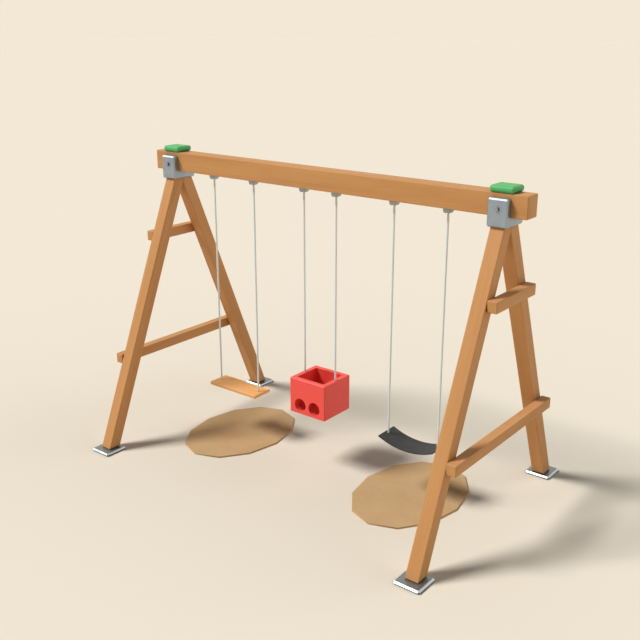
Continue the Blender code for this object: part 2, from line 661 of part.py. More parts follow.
def build_belt(centre_x, seat, rubber):
    bm = prism_bmesh(belt_outline(), "Y", BELT_DEPTH / 2)
    belt = place(add_object("belt_seat", bm, rubber), (centre_x, 0, 0), seat)
    for side, sign in (("left", -1), ("right", 1)):
        x = sign * BELT_ROPES / 2
        hole = cylinder_bmesh(ROPE_HOLE_RADIUS, -3 * BELT_THICK, 3 * BELT_THICK)
        turn = Matrix.Rotation(-belt_angle(x), 3, "Y")
        bmesh.ops.rotate(hole, verts=hole.verts, matrix=turn)
        cut(belt, f"belt_hole_cutter_{side}", hole, (centre_x + x, 0, belt_height(x)))


def build_mat(name, x, matting):
    outline = []
    for step in range(MAT_SIDES):
        turn = 2 * math.pi * step / MAT_SIDES
        outline.append((MAT_HALF_X * math.cos(turn), MAT_HALF_Y * math.sin(turn)))
    bm = bmesh.new()
    face = bm.faces.new([bm.verts.new((px, py, 0)) for px, py in outline])
    drawn = bmesh.ops.extrude_face_region(bm, geom=[face])
    raised = [item for item in drawn["geom"] if isinstance(item, bmesh.types.BMVert)]
    bmesh.ops.translate(bm, verts=raised, vec=(0, 0, MAT_THICK))
    bevel_edges(bm, MAT_BEVEL, 1, lambda middle: middle.z > MAT_THICK - ON_FACE)
    place(add_object(f"landing_mat_{name}", bm, matting), (x, 0, 0))


def build_swing(name, centre_x, ropes, seat_z, through, lean, build_seat, materials):
    """One swing: hangers and pins on the frame, then the ropes and the seat that hang from them."""
    swing = make_pivot(f"swing_{name}_pivot", (centre_x, 0, PIN_Z))
    seat = make_pivot(f"seat_{name}_pivot", (centre_x, 0, seat_z), swing)
    for side, sign in (("left", -1), ("right", 1)):
        x = centre_x + sign * ropes / 2
        label = f"{name}_{side}"
        build_hanger(label, x, materials["hanger"])
        build_hanger_pin(label, x, materials["steel"])
        build_rope(label, x, seat_z, swing, materials["rope"])
        build_rope_tail(label, (x, 0, seat_z), through, -sign * lean, seat, materials["rope"])
    build_seat(centre_x, seat, materials[name])


def main():
    clear_scene()
    materials = {
        "wood": make_material("wood", (0.60, 0.29, 0.10), 0.55),
        "board": make_material("board_wood", (0.83, 0.42, 0.15), 0.5),
        "bucket": make_material("bucket_plastic", (0.88, 0.11, 0.07), 0.45),
        "belt": make_material("belt_rubber", (0.065, 0.065, 0.065), 0.7),
        "bracket": make_material("bracket_metal", (0.32, 0.34, 0.34), 0.4, 0.6),
        "plate": make_material("plate_metal", (0.25, 0.27, 0.28), 0.3, 0.9),
        "steel": make_material("steel", (0.50, 0.51, 0.52), 0.35, 1.0),
        "hanger": make_material("hanger_metal", (0.25, 0.26, 0.27), 0.4, 0.7),
        "cap": make_material("cap_plastic", (0.12, 0.50, 0.17), 0.35),
        "rope": make_material("rope", (0.55, 0.56, 0.53), 0.8),
        "mat": make_material("mat", (0.55, 0.36, 0.18), 0.85),
    }
    swings = (
        ("board", -SWING_SPACING, BOARD_ROPES, BOARD_TOP, BOARD_THICK, 0.0, build_board),
        ("bucket", 0.0, BUCKET_ROPES, BUCKET_TOP, BUCKET_DECK, 0.0, build_bucket),
        ("belt", SWING_SPACING, BELT_ROPES, belt_height(BELT_ROPES / 2), BELT_THICK,
         belt_angle(BELT_ROPES / 2), build_belt),
    )
    hanger_places = [centre + sign * ropes / 2 for _, centre, ropes, *_ in swings for sign in (-1, 1)]
    build_beam(materials["wood"], hanger_places)
    for side, outward in (("left", -1), ("right", 1)):
        build_a_frame(side, outward, materials)
        build_cap(side, outward * FRAME_X, materials["cap"])
    for name, centre_x, ropes, seat_z, through, lean, build_seat in swings:
        build_swing(name, centre_x, ropes, seat_z, through, lean, build_seat, materials)
    for name, x in (("board", -SWING_SPACING), ("belt", SWING_SPACING)):
        build_mat(name, x, materials["mat"])


main()
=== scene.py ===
"""Looks of the garden swing set: timber A-frames, metal fittings and three rope swings, laid on its CAD frame.

Metres, in the frame's own coordinates: +Z up, +X along the beam, -Y towards the front.
"""

import logging
import math
from collections.abc import Callable, Sequence
from dataclasses import dataclass
from enum import Enum
from typing import ClassVar

import bmesh
import bpy
from mathutils import Matrix, Vector


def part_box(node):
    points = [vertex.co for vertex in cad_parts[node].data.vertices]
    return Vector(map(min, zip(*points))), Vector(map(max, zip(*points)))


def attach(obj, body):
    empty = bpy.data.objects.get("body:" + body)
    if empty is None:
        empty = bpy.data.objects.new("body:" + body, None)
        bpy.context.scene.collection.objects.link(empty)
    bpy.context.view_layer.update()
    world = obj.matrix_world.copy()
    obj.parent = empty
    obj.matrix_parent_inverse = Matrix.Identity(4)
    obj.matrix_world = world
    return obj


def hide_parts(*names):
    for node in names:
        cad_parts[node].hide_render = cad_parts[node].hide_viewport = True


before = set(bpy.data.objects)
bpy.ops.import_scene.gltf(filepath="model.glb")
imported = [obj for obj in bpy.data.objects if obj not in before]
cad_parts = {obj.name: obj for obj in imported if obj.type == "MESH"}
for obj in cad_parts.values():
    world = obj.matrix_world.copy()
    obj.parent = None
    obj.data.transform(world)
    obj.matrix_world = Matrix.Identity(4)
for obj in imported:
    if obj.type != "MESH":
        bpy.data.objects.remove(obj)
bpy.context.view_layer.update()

LOG = logging.getLogger("swing_set")
Point = tuple[float, float, float]
Colour = Point
Pair = tuple[float, float]
Solid = bmesh.types.BMesh
Wire = bpy.types.NodeSocket
Wires = dict[str, Wire]
Place = Matrix | Vector | Point


class Axis(Enum):
    """The axis that an outline is drawn out along, or that a profile is turned round."""

    X = 0
    Y = 1
    Z = 2

    def point(self, across: Pair, along: float) -> Point:
        """The point at a place along the axis and a pair of places across it."""
        return (*across[:self.value], along, *across[self.value:])


class Named(Enum):
    """An option whose name stands in the names of pieces."""

    @property
    def word(self) -> str:
        """Its name in small letters."""
        return self.name.lower()


class Side(Named):
    """An end of the beam, with its sign along X."""

    LEFT = -1
    RIGHT = 1


class End(Named):
    """The front or the rear of an A-frame, with its sign along Y."""

    FRONT = -1
    REAR = 1


class Level(Named):
    """Which of an A-frame's two braces."""

    UPPER = 1
    LOWER = 2


class Swing(Named):
    """One of the three swings."""

    BOARD = 1
    BUCKET = 2
    BELT = 3


class Socket(Enum):
    """Kinds of input that a surface effect takes."""

    NUMBER = "NodeSocketFloat"
    VECTOR = "NodeSocketVector"


def linear(red: int, green: int, blue: int) -> Colour:
    """Turns a colour as seen on a screen, 0 to 255, into the linear one that a shader takes."""
    shares = [value / 255 for value in (red, green, blue)]
    return tuple(share / 12.92 if share <= 0.04045 else ((share + 0.055) / 1.055) ** 2.4 for share in shares)


def around(steps: int) -> list[float]:
    """The angles of even steps round a circle."""
    return [2 * math.pi * step / steps for step in range(steps)]


def middle_of(low: Vector, high: Vector) -> Vector:
    """The point halfway between two corners."""
    return (low + high) / 2


def matrix_of(place: Place) -> Matrix:
    """A place as a matrix."""
    return place if isinstance(place, Matrix) else Matrix.Translation(place)


def shown(name: str, data: bpy.types.ID) -> bpy.types.Object:
    """Makes an object of a mesh, lamp or camera.

    Args:
        name: The object's name.
        data: What it shows.

    Returns:
        The object, in the scene.
    """
    obj = bpy.data.objects.new(name, data)
    bpy.context.scene.collection.objects.link(obj)
    return obj


class Graph:
    """A shader node tree under construction, with short ways to add the nodes that it needs."""

    def __init__(self, tree: bpy.types.NodeTree) -> None:
        """Works on this tree."""
        self.tree = tree

    def feed(self, socket: Wire, value: object) -> None:
        """Links a socket to another one's output, or sets its plain value.

        Args:
            socket: The input that gets it.
            value: An output socket, a number or a tuple.
        """
        if isinstance(value, Wire):
            self.tree.links.new(value, socket)
        else:
            socket.default_value = value

    def add(self, kind: str, options: dict[str, object] | None = None, **inputs: object) -> bpy.types.Node:
        """Adds a node.

        Args:
            kind: Its type without the leading "ShaderNode".
            options: Its settings by name.
            inputs: Its inputs by name, with underscores for spaces.

        Returns:
            The node.
        """
        node = self.tree.nodes.new(f"ShaderNode{kind}")
        for name, value in (options or {}).items():
            setattr(node, name, value)
        for name, value in inputs.items():
            self.feed(node.inputs[name.replace("_", " ")], value)
        return node

    def work(self, kind: str, operation: str, values: Sequence[object]) -> bpy.types.Node:
        """Adds a Math or a Vector Math node.

        Args:
            kind: Its type without the leading "ShaderNode".
            operation: Its operation.
            values: Its inputs in order.

        Returns:
            The node.
        """
        node = self.add(kind, {"operation": operation})
        for socket, value in zip(node.inputs, values):
            self.feed(socket, value)
        return node

    def maths(self, operation: str, *values: object) -> Wire:
        """Works with numbers and returns the result."""
        return self.work("Math", operation, values).outputs[0]

    def vector(self, operation: str, *values: object) -> Wire:
        """Works with vectors and returns the result, a number where the operation gives one."""
        number = operation in ("LENGTH", "DOT_PRODUCT")
        return self.work("VectorMath", operation, values).outputs["Value" if number else "Vector"]

    def blend(self, share: object, first: object, second: object) -> Wire:
        """Mixes two colours.

        Args:
            share: 0 gives the first and 1 the second.
            first: A colour or an output socket.
            second: The same.

        Returns:
            The mixed colour.
        """
        node = self.add("Mix", {"data_type": "RGBA", "clamp_factor": True})
        for index, value in ((0, share), (6, first), (7, second)):
            self.feed(node.inputs[index], (*value, 1.0) if isinstance(value, tuple) else value)
        return node.outputs[2]

    def spread(self, value: object, low: float, high: float, start: float = 0.0, stop: float = 1.0) -> Wire:
        """Maps a number's range, low to high, onto start to stop, held at its ends."""
        inputs = {"Value": value, "From_Min": low, "From_Max": high, "To_Min": start, "To_Max": stop}
        return self.add("MapRange", {"clamp": True}, **inputs).outputs["Result"]

    def noise(self, place: object, scale: float, detail: float = 2.0, rough: float = 0.5) -> Wire:
        """Adds a noise of so many octaves, read at a place, and returns a number about 0.5."""
        return self.add("TexNoise", Vector=place, Scale=scale, Detail=detail, Roughness=rough).outputs["Fac"]


class Effect:
    """A surface effect that several finishes use, kept as one node group."""

    title: ClassVar[str]
    takes: ClassVar[dict[str, float]]
    gives: ClassVar[tuple[str, ...]] = ("Mask",)

    def wire(self, graph: Graph, given: Wires) -> Wires:
        """Builds the inside from the group's inputs and returns what goes to each named output."""
        raise NotImplementedError

    def tree(self) -> bpy.types.NodeTree:
        """Makes the node group the first time.

        Returns:
            The group. Its first input is the place, and the others are numbers.
        """
        known = bpy.data.node_groups.get(self.title)
        if known is not None:
            return known
        tree = bpy.data.node_groups.new(self.title, "ShaderNodeTree")
        tree.interface.new_socket("Place", in_out="INPUT", socket_type=Socket.VECTOR.value)
        for name, value in self.takes.items():
            socket = tree.interface.new_socket(name, in_out="INPUT", socket_type=Socket.NUMBER.value)
            socket.default_value = value
        for name in self.gives:
            tree.interface.new_socket(name, in_out="OUTPUT", socket_type=Socket.NUMBER.value)
        graph = Graph(tree)
        way_in, way_out = (tree.nodes.new(f"NodeGroup{way}") for way in ("Input", "Output"))
        given = {name: way_in.outputs[name] for name in ("Place", *self.takes)}
        for name, value in self.wire(graph, given).items():
            graph.feed(way_out.inputs[name], value)
        return tree

    def use(self, graph: Graph, **values: object) -> Wires:
        """Places the group in a material, inputs with underscores for spaces, and returns its outputs."""
        node = graph.add("Group", {"node_tree": self.tree()}, **values)
        return {name: node.outputs[name] for name in self.gives}


class WoodGrain(Effect):
    """Growth rings round the X axis of a timber, with fibres along it."""

    title = "Wood grain"
    takes = {"Ring Width": 0.006, "Wander": 0.012}
    gives = ("Ring", "Fibre", "Tone")

    def wire(self, graph: Graph, given: Wires) -> Wires:
        """Builds the inside.

        Args:
            graph: The group's tree.
            given: Place, ring width and wander.

        Returns:
            The late wood's share, the fibre streaks and the slow change of tone.
        """
        place = given["Place"]
        slow = graph.vector("MULTIPLY", place, (0.55, 5.0, 5.0))
        drift = graph.maths("SUBTRACT", graph.noise(slow, 1.0, 3.0), 0.5)
        across = graph.vector("LENGTH", graph.vector("MULTIPLY", place, (0.0, 1.0, 1.0)))
        moved = graph.maths("MULTIPLY_ADD", drift, given["Wander"], across)
        turn = graph.maths("FRACT", graph.maths("DIVIDE", moved, given["Ring Width"]))
        rise = graph.maths("POWER", graph.spread(turn, 0.0, 0.86), 2.6)
        ring = graph.maths("MULTIPLY", rise, graph.spread(turn, 0.86, 1.0, 1.0, 0.0))
        fine = graph.vector("MULTIPLY", place, (9.0, 330.0, 330.0))
        fibre = graph.spread(graph.noise(fine, 1.0, 3.0, 0.6), 0.32, 0.70)
        broad = graph.vector("MULTIPLY", place, (0.9, 14.0, 14.0))
        tone = graph.spread(graph.noise(broad, 1.0, 2.0), 0.3, 0.7)
        return {"Ring": ring, "Fibre": fibre, "Tone": tone}


class SoftArris(Effect):
    """Where an outer edge has been rubbed."""

    title = "Rubbed edges"
    takes = {"Width": 0.003, "Break Up": 60.0}

    def wire(self, graph: Graph, given: Wires) -> Wires:
        """Builds the inside.

        Args:
            graph: The group's tree.
            given: Place, width and how fine the wear breaks up.

        Returns:
            1 on a rubbed edge and 0 on a face.
        """
        bent = graph.add("Bevel", {"samples": 4}, Radius=given["Width"]).outputs["Normal"]
        flat = graph.add("NewGeometry").outputs["Normal"]
        turned = graph.maths("SUBTRACT", 1.0, graph.vector("DOT_PRODUCT", bent, flat))
        edge = graph.spread(turned, 0.01, 0.16)
        speck = graph.spread(graph.noise(given["Place"], given["Break Up"], 3.0), 0.3, 0.62)
        return {"Mask": graph.maths("MULTIPLY", edge, speck)}


class Grit(Effect):
    """Fine uneven grain of a cast, moulded or granulated surface."""

    title = "Surface grit"
    takes = {"Scale": 400.0, "Cloud Scale": 9.0}
    gives = ("Height", "Cloud")

    def wire(self, graph: Graph, given: Wires) -> Wires:
        """Builds the inside.

        Args:
            graph: The group's tree.
            given: Place, the grit's scale and that of its slow clouds.

        Returns:
            The grit's height and the clouds.
        """
        grit = graph.noise(given["Place"], given["Scale"], 3.0, 0.6)
        cloud = graph.noise(given["Place"], given["Cloud Scale"], 3.0)
        return {"Height": grit, "Cloud": graph.spread(cloud, 0.3, 0.7)}


class YardDust(Effect):
    """Pale dust that lies on what faces up."""

    title = "Yard dust"
    takes = {"Amount": 0.2}

    def wire(self, graph: Graph, given: Wires) -> Wires:
        """Builds the inside.

        Args:
            graph: The group's tree.
            given: Place and the greatest share of dust.

        Returns:
            The share of dust.
        """
        normal = graph.add("NewGeometry").outputs["Normal"]
        up = graph.spread(graph.vector("DOT_PRODUCT", normal, (0.0, 0.0, 1.0)), 0.35, 0.95)
        patch = graph.spread(graph.noise(given["Place"], 16.0, 4.0, 0.65), 0.38, 0.72)
        return {"Mask": graph.maths("MULTIPLY", graph.maths("MULTIPLY", up, patch), given["Amount"])}


class RecessShade(Effect):
    """Painted shade that darkens hollows and places close to joints, from ambient occlusion broken up by noise."""

    title = "Painted recess shade"
    takes = {"Reach": 0.04, "Amount": 0.4}

    def wire(self, graph: Graph, given: Wires) -> Wires:
        """Builds the inside.

        Args:
            graph: The group's tree.
            given: Place, how far out a surface must be free to stay unshaded, and the greatest share of painted
                shade.

        Returns:
            The share of painted shade.
        """
        # Ambient occlusion darkens closed-in places: painted shade
        free = graph.add("AmbientOcclusion", {"samples": 6}, Distance=given["Reach"]).outputs["AO"]
        closed = graph.spread(free, 0.3, 0.95, 1.0, 0.0)
        patch = graph.spread(graph.noise(given["Place"], 26.0, 3.0), 0.3, 0.7, 0.6, 1.0)
        return {"Mask": graph.maths("MULTIPLY", graph.maths("MULTIPLY", closed, patch), given["Amount"])}


class RopeYarn(Effect):
    """Yarns that run along the strands of a laid rope, whose own line is the object's Z axis."""

    title = "Rope yarn"
    takes = {"Yarns": 24.0, "Pitch": 0.07}
    gives = ("Height", "Fray")

    def wire(self, graph: Graph, given: Wires) -> Wires:
        """Builds the inside.

        Args:
            graph: The group's tree.
            given: Place, yarns round the rope and the height of one turn.

        Returns:
            The yarns' height and their loose fibres.
        """
        parts = graph.add("SeparateXYZ", Vector=given["Place"]).outputs
        turn = graph.maths("DIVIDE", graph.maths("ARCTAN2", parts["Y"], parts["X"]), 2 * math.pi)
        climb = graph.maths("DIVIDE", parts["Z"], given["Pitch"])
        wave = graph.maths("MULTIPLY", graph.maths("ADD", turn, climb), given["Yarns"])
        yarn = graph.maths("PINGPONG", wave, 0.5)
        fray = graph.noise(given["Place"], 900.0, 2.0)
        return {"Height": graph.maths("MULTIPLY", yarn, 2.0), "Fray": graph.spread(fray, 0.3, 0.7)}


@dataclass(frozen=True, kw_only=True)
class Finish:
    """What a surface is made of. A kind of finish adds its own patterns."""

    name: str
    colour: Colour
    roughness: float
    specular: float = 0.5

    def paint(self, graph: Graph, place: Wire, shader: bpy.types.Node) -> None:
        """Feeds the shader, in the material's tree, from the piece's own coordinates."""
        raise NotImplementedError

    def material(self) -> bpy.types.Material:
        """Makes the material the first time.

        Returns:
            The material.
        """
        known = bpy.data.materials.get(self.name)
        if known is not None:
            return known
        material = bpy.data.materials.new(self.name)
        material.use_nodes = True
        material.diffuse_color = (*self.colour, 1.0)
        graph = Graph(material.node_tree)
        shader = material.node_tree.nodes["Principled BSDF"]
        shader.inputs["Specular IOR Level"].default_value = self.specular
        self.paint(graph, graph.add("TexCoord").outputs["Object"], shader)
        return material

    def rough(self, graph: Graph, mask: Wire, less: float, more: float) -> Wire:
        """The roughness, from a little less to a little more than the finish says as the mask goes up."""
        return graph.spread(mask, 0.0, 1.0, self.roughness - less, self.roughness + more)

    def relief(self, graph: Graph, shader: bpy.types.Node, height: Wire, depth: float) -> None:
        """Adds a bump that is this many metres deep where the height is 1."""
        bump = graph.add("Bump", Height=height, Distance=depth, Strength=0.6)
        graph.feed(shader.inputs["Normal"], bump.outputs["Normal"])


@dataclass(frozen=True, kw_only=True)
class Worn(Finish):
    """A finish with rubbed edges, painted shade in its hollows and dust on what faces up."""

    rubbed: Colour
    edge_width: float
    edge_break: float
    edge_show: float
    # Painted shade in hollows: its colour, how far it reaches and its greatest share
    recess_shade: Colour = linear(58, 57, 56)
    recess_shade_reach: float = 0.03
    recess_shade_share: float = 0.0
    dust: Colour
    dust_share: float

    @property
    def recess_shade_colour(self) -> Colour:
        """The colour of the painted shade in its hollows."""
        return self.recess_shade

    def aged(self, graph: Graph, place: Wire, body: Wire, shader: bpy.types.Node) -> Wire:
        """Lays rubbed edges, painted shade in hollows and dust over a colour and feeds it to the shader.

        Args:
            graph: The material's tree.
            place: The piece's own coordinates.
            body: The colour without them.
            shader: The shader that gets it.

        Returns:
            The share of dust.
        """
        edge = SoftArris().use(graph, Place=place, Width=self.edge_width, Break_Up=self.edge_break)["Mask"]
        body = graph.blend(graph.maths("MULTIPLY", edge, self.edge_show), body, self.rubbed)
        # Painted shade, darkest in hollows and close to joints
        if self.recess_shade_share:
            recess_shade = RecessShade().use(graph, Place=place, Reach=self.recess_shade_reach, Amount=self.recess_shade_share)
            body = graph.blend(recess_shade["Mask"], body, self.recess_shade_colour)
        dust = YardDust().use(graph, Place=place, Amount=self.dust_share)["Mask"]
        graph.feed(shader.inputs["Base Color"], graph.blend(dust, body, self.dust))
        return dust


@dataclass(frozen=True, kw_only=True)
class Timber(Worn):
    """Planed and oiled softwood. Each timber's own "pith" says where its growth rings are centred."""

    late: Colour
    specular: float = 0.3
    ring_width: float = 0.0065
    wander: float = 0.016
    ring_show: float = 0.34
    fibre_show: float = 0.22
    tone_show: float = 0.34
    edge_width: float = 0.006
    edge_break: float = 26.0
    edge_show: float = 0.35
    # Painted shade near joints and in hollows, a dark brown
    recess_shade: Colour = linear(104, 70, 42)
    recess_shade_reach: float = 0.035
    recess_shade_share: float = 0.4
    dust: Colour = linear(214, 196, 168)
    dust_share: float = 0.10

    def paint(self, graph: Graph, place: Wire, shader: bpy.types.Node) -> None:
        """Feeds the shader with rings and fibres.

        Args:
            graph: The material's tree.
            place: The timber's own coordinates, X along its grain.
            shader: Its Principled BSDF.
        """
        pith = graph.add("Attribute", {"attribute_type": "OBJECT", "attribute_name": "pith"}).outputs["Vector"]
        log = graph.vector("ADD", place, pith)
        grain = WoodGrain().use(graph, Place=log, Ring_Width=self.ring_width, Wander=self.wander)
        share = graph.maths("MULTIPLY", grain["Ring"], self.ring_show)
        share = graph.maths("MULTIPLY_ADD", grain["Fibre"], self.fibre_show, share)
        share = graph.maths("MULTIPLY_ADD", grain["Tone"], self.tone_show, share)
        self.aged(graph, log, graph.blend(share, self.colour, self.late), shader)
        graph.feed(shader.inputs["Roughness"], self.rough(graph, grain["Fibre"], 0.05, 0.07))
        height = graph.maths("SUBTRACT", grain["Fibre"], graph.maths("MULTIPLY", grain["Ring"], 0.6))
        self.relief(graph, shader, height, 0.0003)


@dataclass(frozen=True, kw_only=True)
class Metal(Worn):
    """Cast, rolled or plated metal with brighter rubbed edges."""

    metallic: float = 0.9
    grit_scale: float = 420.0
    grit_depth: float = 0.00012
    edge_width: float = 0.002
    edge_break: float = 90.0
    edge_show: float = 0.5
    # Share of painted shade in hollows
    recess_shade_share: float = 0.45
    dust: Colour = linear(190, 180, 160)
    dust_share: float = 0.08

    def base(self, graph: Graph, cloud: Wire) -> tuple[Wire, object]:
        """Its colour before wear, and how much rougher it is than the finish says."""
        return graph.blend(cloud, self.colour, tuple(0.86 * part for part in self.colour)), 0.0

    def paint(self, graph: Graph, place: Wire, shader: bpy.types.Node) -> None:
        """Feeds the shader with grit and clouds.

        Args:
            graph: The material's tree.
            place: The piece's own coordinates.
            shader: Its Principled BSDF.
        """
        grit = Grit().use(graph, Place=place, Scale=self.grit_scale, Cloud_Scale=14.0)
        body, rougher = self.base(graph, grit["Cloud"])
        dust = self.aged(graph, place, body, shader)
        rough = graph.maths("MULTIPLY_ADD", dust, 0.5, self.rough(graph, grit["Cloud"], 0.04, 0.07))
        graph.feed(shader.inputs["Roughness"], graph.maths("ADD", rough, rougher))
        shader.inputs["Metallic"].default_value = self.metallic
        self.relief(graph, shader, grit["Height"], self.grit_depth)


@dataclass(frozen=True, kw_only=True)
class FacedMetal(Metal):
    """Metal with one worked face, a set colour on the slopes round it, and painted shade on the flanks that turn
    away from it.
    """

    facing: Point = (0.0, 0.0, 1.0)
    # A set colour on the slopes beside the worked face, and a dark painted shade on the flanks
    border: Colour = linear(152, 160, 166)
    painted_flank_shade: Colour = linear(30, 30, 30)
    painted_flank_shade_rougher: float = 0.55

    def base(self, graph: Graph, cloud: Wire) -> tuple[Wire, object]:
        """The metal before wear, with painted tones by how far each part of it turns away from the worked face.

        Args:
            graph: The material's tree.
            cloud: Slow clouds over the surface.

        Returns:
            Its colour, and how much rougher it is than the finish says.
        """
        turned = graph.vector("DOT_PRODUCT", graph.add("TexCoord").outputs["Normal"], self.facing)
        # Slopes get the set colour: lighter on the plates as a painted highlight, darker on the bolt as painted
        # shade
        slope = graph.spread(turned, 0.85, 0.95, 1.0, 0.0)
        worked = graph.blend(slope, Metal.base(self, graph, cloud)[0], self.border)
        # Flanks turned away from the worked face get painted shade
        away = graph.spread(turned, 0.2, 0.4, 1.0, 0.0)
        return graph.blend(away, worked, self.painted_flank_shade), graph.maths("MULTIPLY", away, self.painted_flank_shade_rougher)


@dataclass(frozen=True, kw_only=True)
class Moulded(Worn):
    """Moulded plastic or rubber with a fine skin, scuffed along its edges, with painted shade darkening its hollows.
    """

    skin_scale: float = 700.0
    skin_depth: float = 0.00010
    coat: float = 0.0
    edge_width: float = 0.003
    edge_break: float = 45.0
    edge_show: float = 0.3
    # Painted shade in hollows: how far it reaches and its greatest share
    recess_shade_reach: float = 0.04
    recess_shade_share: float = 0.35
    dust: Colour = linear(214, 200, 176)
    dust_share: float = 0.06

    @property
    def recess_shade_colour(self) -> Colour:
        """The painted shade in its hollows: a dark copy of its own colour."""
        return tuple(0.22 * part for part in self.colour)

    def paint(self, graph: Graph, place: Wire, shader: bpy.types.Node) -> None:
        """Feeds the shader with its skin and a slow change of tone.

        Args:
            graph: The material's tree.
            place: The piece's own coordinates.
            shader: Its Principled BSDF.
        """
        skin = Grit().use(graph, Place=place, Scale=self.skin_scale, Cloud_Scale=7.0)
        faded = tuple(min(1.0, 0.9 * part + 0.012) for part in self.colour)
        body = graph.blend(graph.maths("MULTIPLY", skin["Cloud"], 0.6), self.colour, faded)
        dust = self.aged(graph, place, body, shader)
        rough = graph.maths("MULTIPLY_ADD", dust, 0.6, self.rough(graph, skin["Cloud"], 0.03, 0.06))
        graph.feed(shader.inputs["Roughness"], rough)
        shader.inputs["Coat Weight"].default_value = self.coat
        shader.inputs["Coat Roughness"].default_value = 0.25
        self.relief(graph, shader, skin["Height"], self.skin_depth)


@dataclass(frozen=True, kw_only=True)
class LaidRope(Finish):
    """Fibres of a twisted rope, darker between its yarns."""

    shadow: Colour
    specular: float = 0.25

    def paint(self, graph: Graph, place: Wire, shader: bpy.types.Node) -> None:
        """Feeds the shader with yarns and loose fibres.

        Args:
            graph: The material's tree.
            place: The rope's own coordinates, Z along it.
            shader: Its Principled BSDF.
        """
        yarn = RopeYarn().use(graph, Place=place, Yarns=27.0, Pitch=-0.11)
        share = graph.maths("MULTIPLY_ADD", yarn["Fray"], 0.35, graph.maths("MULTIPLY", yarn["Height"], 0.65))
        graph.feed(shader.inputs["Base Color"], graph.blend(share, self.shadow, self.colour))
        graph.feed(shader.inputs["Roughness"], self.rough(graph, yarn["Fray"], 0.08, 0.08))
        shader.inputs["Sheen Weight"].default_value = 0.15
        self.relief(graph, shader, yarn["Height"], 0.0004)


@dataclass(frozen=True, kw_only=True)
class Granules(Worn):
    """Rubber granules pressed into a mat, each a little lighter or darker."""

    grain: float = 420.0
    specular: float = 0.2
    edge_width: float = 0.003
    edge_break: float = 70.0
    edge_show: float = 0.2
    dust: Colour = linear(222, 204, 172)
    dust_share: float = 0.10

    def paint(self, graph: Graph, place: Wire, shader: bpy.types.Node) -> None:
        """Feeds the shader with granules and clouds.

        Args:
            graph: The material's tree.
            place: The mat's own coordinates.
            shader: Its Principled BSDF.
        """
        cells = graph.add("TexVoronoi", Vector=place, Scale=self.grain)
        shade = graph.add("SeparateColor", Color=cells.outputs["Color"]).outputs[0]
        grit = Grit().use(graph, Place=place, Scale=180.0, Cloud_Scale=4.0)
        share = graph.maths("MULTIPLY_ADD", grit["Cloud"], 0.25, graph.maths("MULTIPLY", shade, 0.5))
        self.aged(graph, place, graph.blend(share, self.colour, self.rubbed), shader)
        graph.feed(shader.inputs["Roughness"], self.rough(graph, shade, 0.1, 0.0))
        self.relief(graph, shader, cells.outputs["Distance"], 0.0010)


FRAME_TIMBER = Timber(name="frame_timber", colour=linear(210, 153, 96), late=linear(180, 122, 68),
                      rubbed=linear(224, 174, 119), roughness=0.58)
BOARD_TIMBER = Timber(name="board_timber", colour=linear(246, 185, 115), late=linear(228, 156, 88),
                      rubbed=linear(252, 204, 142), roughness=0.52, ring_width=0.005)
CAST_BRACKET = Metal(name="cast_bracket", colour=linear(160, 172, 184), rubbed=linear(206, 214, 224),
                     roughness=0.42, metallic=0.75)
# Plate chamfers get a lighter colour, a painted highlight, and its under-slopes and sides a dark painted shade
ROLLED_PLATE = FacedMetal(name="rolled_plate", colour=linear(140, 153, 164), rubbed=linear(206, 214, 222),
                          roughness=0.34, edge_show=0.3, dust_share=0.03, recess_shade_share=0.3)
# Bolt chamfers get a darker colour and its sides a dark one, both painted shade
BOLT_STEEL = FacedMetal(name="bolt_steel", colour=linear(152, 162, 172), rubbed=linear(164, 172, 180),
                        roughness=0.6, metallic=0.6, edge_show=0.1, facing=(0.0, -1.0, 0.0),
                        border=linear(136, 144, 152), painted_flank_shade=linear(40, 42, 45), recess_shade_share=0.2)
PLATED_STEEL = Metal(name="plated_steel", colour=linear(176, 182, 186), rubbed=linear(226, 230, 234),
                     roughness=0.32, metallic=1.0)
CAST_HANGER = Metal(name="cast_hanger", colour=linear(174, 184, 190), rubbed=linear(208, 214, 220),
                    roughness=0.45, metallic=0.6)
CAP_PLASTIC = Moulded(name="cap_plastic", colour=linear(86, 184, 108), rubbed=linear(120, 204, 138),
                      roughness=0.5, specular=0.3)
# Its wide, strong painted shade darkens the basin and the leg holes
BUCKET_PLASTIC = Moulded(name="bucket_plastic", colour=linear(251, 78, 68), rubbed=linear(252, 118, 104),
                         roughness=0.45, coat=0.05, recess_shade_reach=0.16, recess_shade_share=0.6)
BELT_RUBBER = Moulded(name="belt_rubber", colour=linear(50, 51, 54), rubbed=linear(84, 84, 86), roughness=0.68,
                      skin_scale=380.0, skin_depth=0.0003, specular=0.3, dust_share=0.03)
SWING_ROPE = LaidRope(name="swing_rope", colour=linear(244, 250, 248), shadow=linear(220, 228, 226),
                      roughness=0.8)
TWINE = LaidRope(name="whipping_twine", colour=linear(238, 242, 238), shadow=linear(210, 214, 210),
                 roughness=0.8)
MAT_GRANULES = Granules(name="mat_granules", colour=linear(206, 172, 126), rubbed=linear(176, 138, 92),
                        roughness=0.92)

# Corners closer than this become one after a cut
WELD = 0.0004
# Margin where edges are picked by their place
HAIR = 0.001
# How far a cutter stands out of what it cuts
OVER = 0.01
# Sides of the round holes and eyes
HOLE_STEPS = 32
# Least angles between faces for a rounded edge of a shape, of a small round, and for a sharp one without
SOFT_FROM, ROUND_FROM, SHARP_FROM = math.radians(20), math.radians(30), math.radians(40)


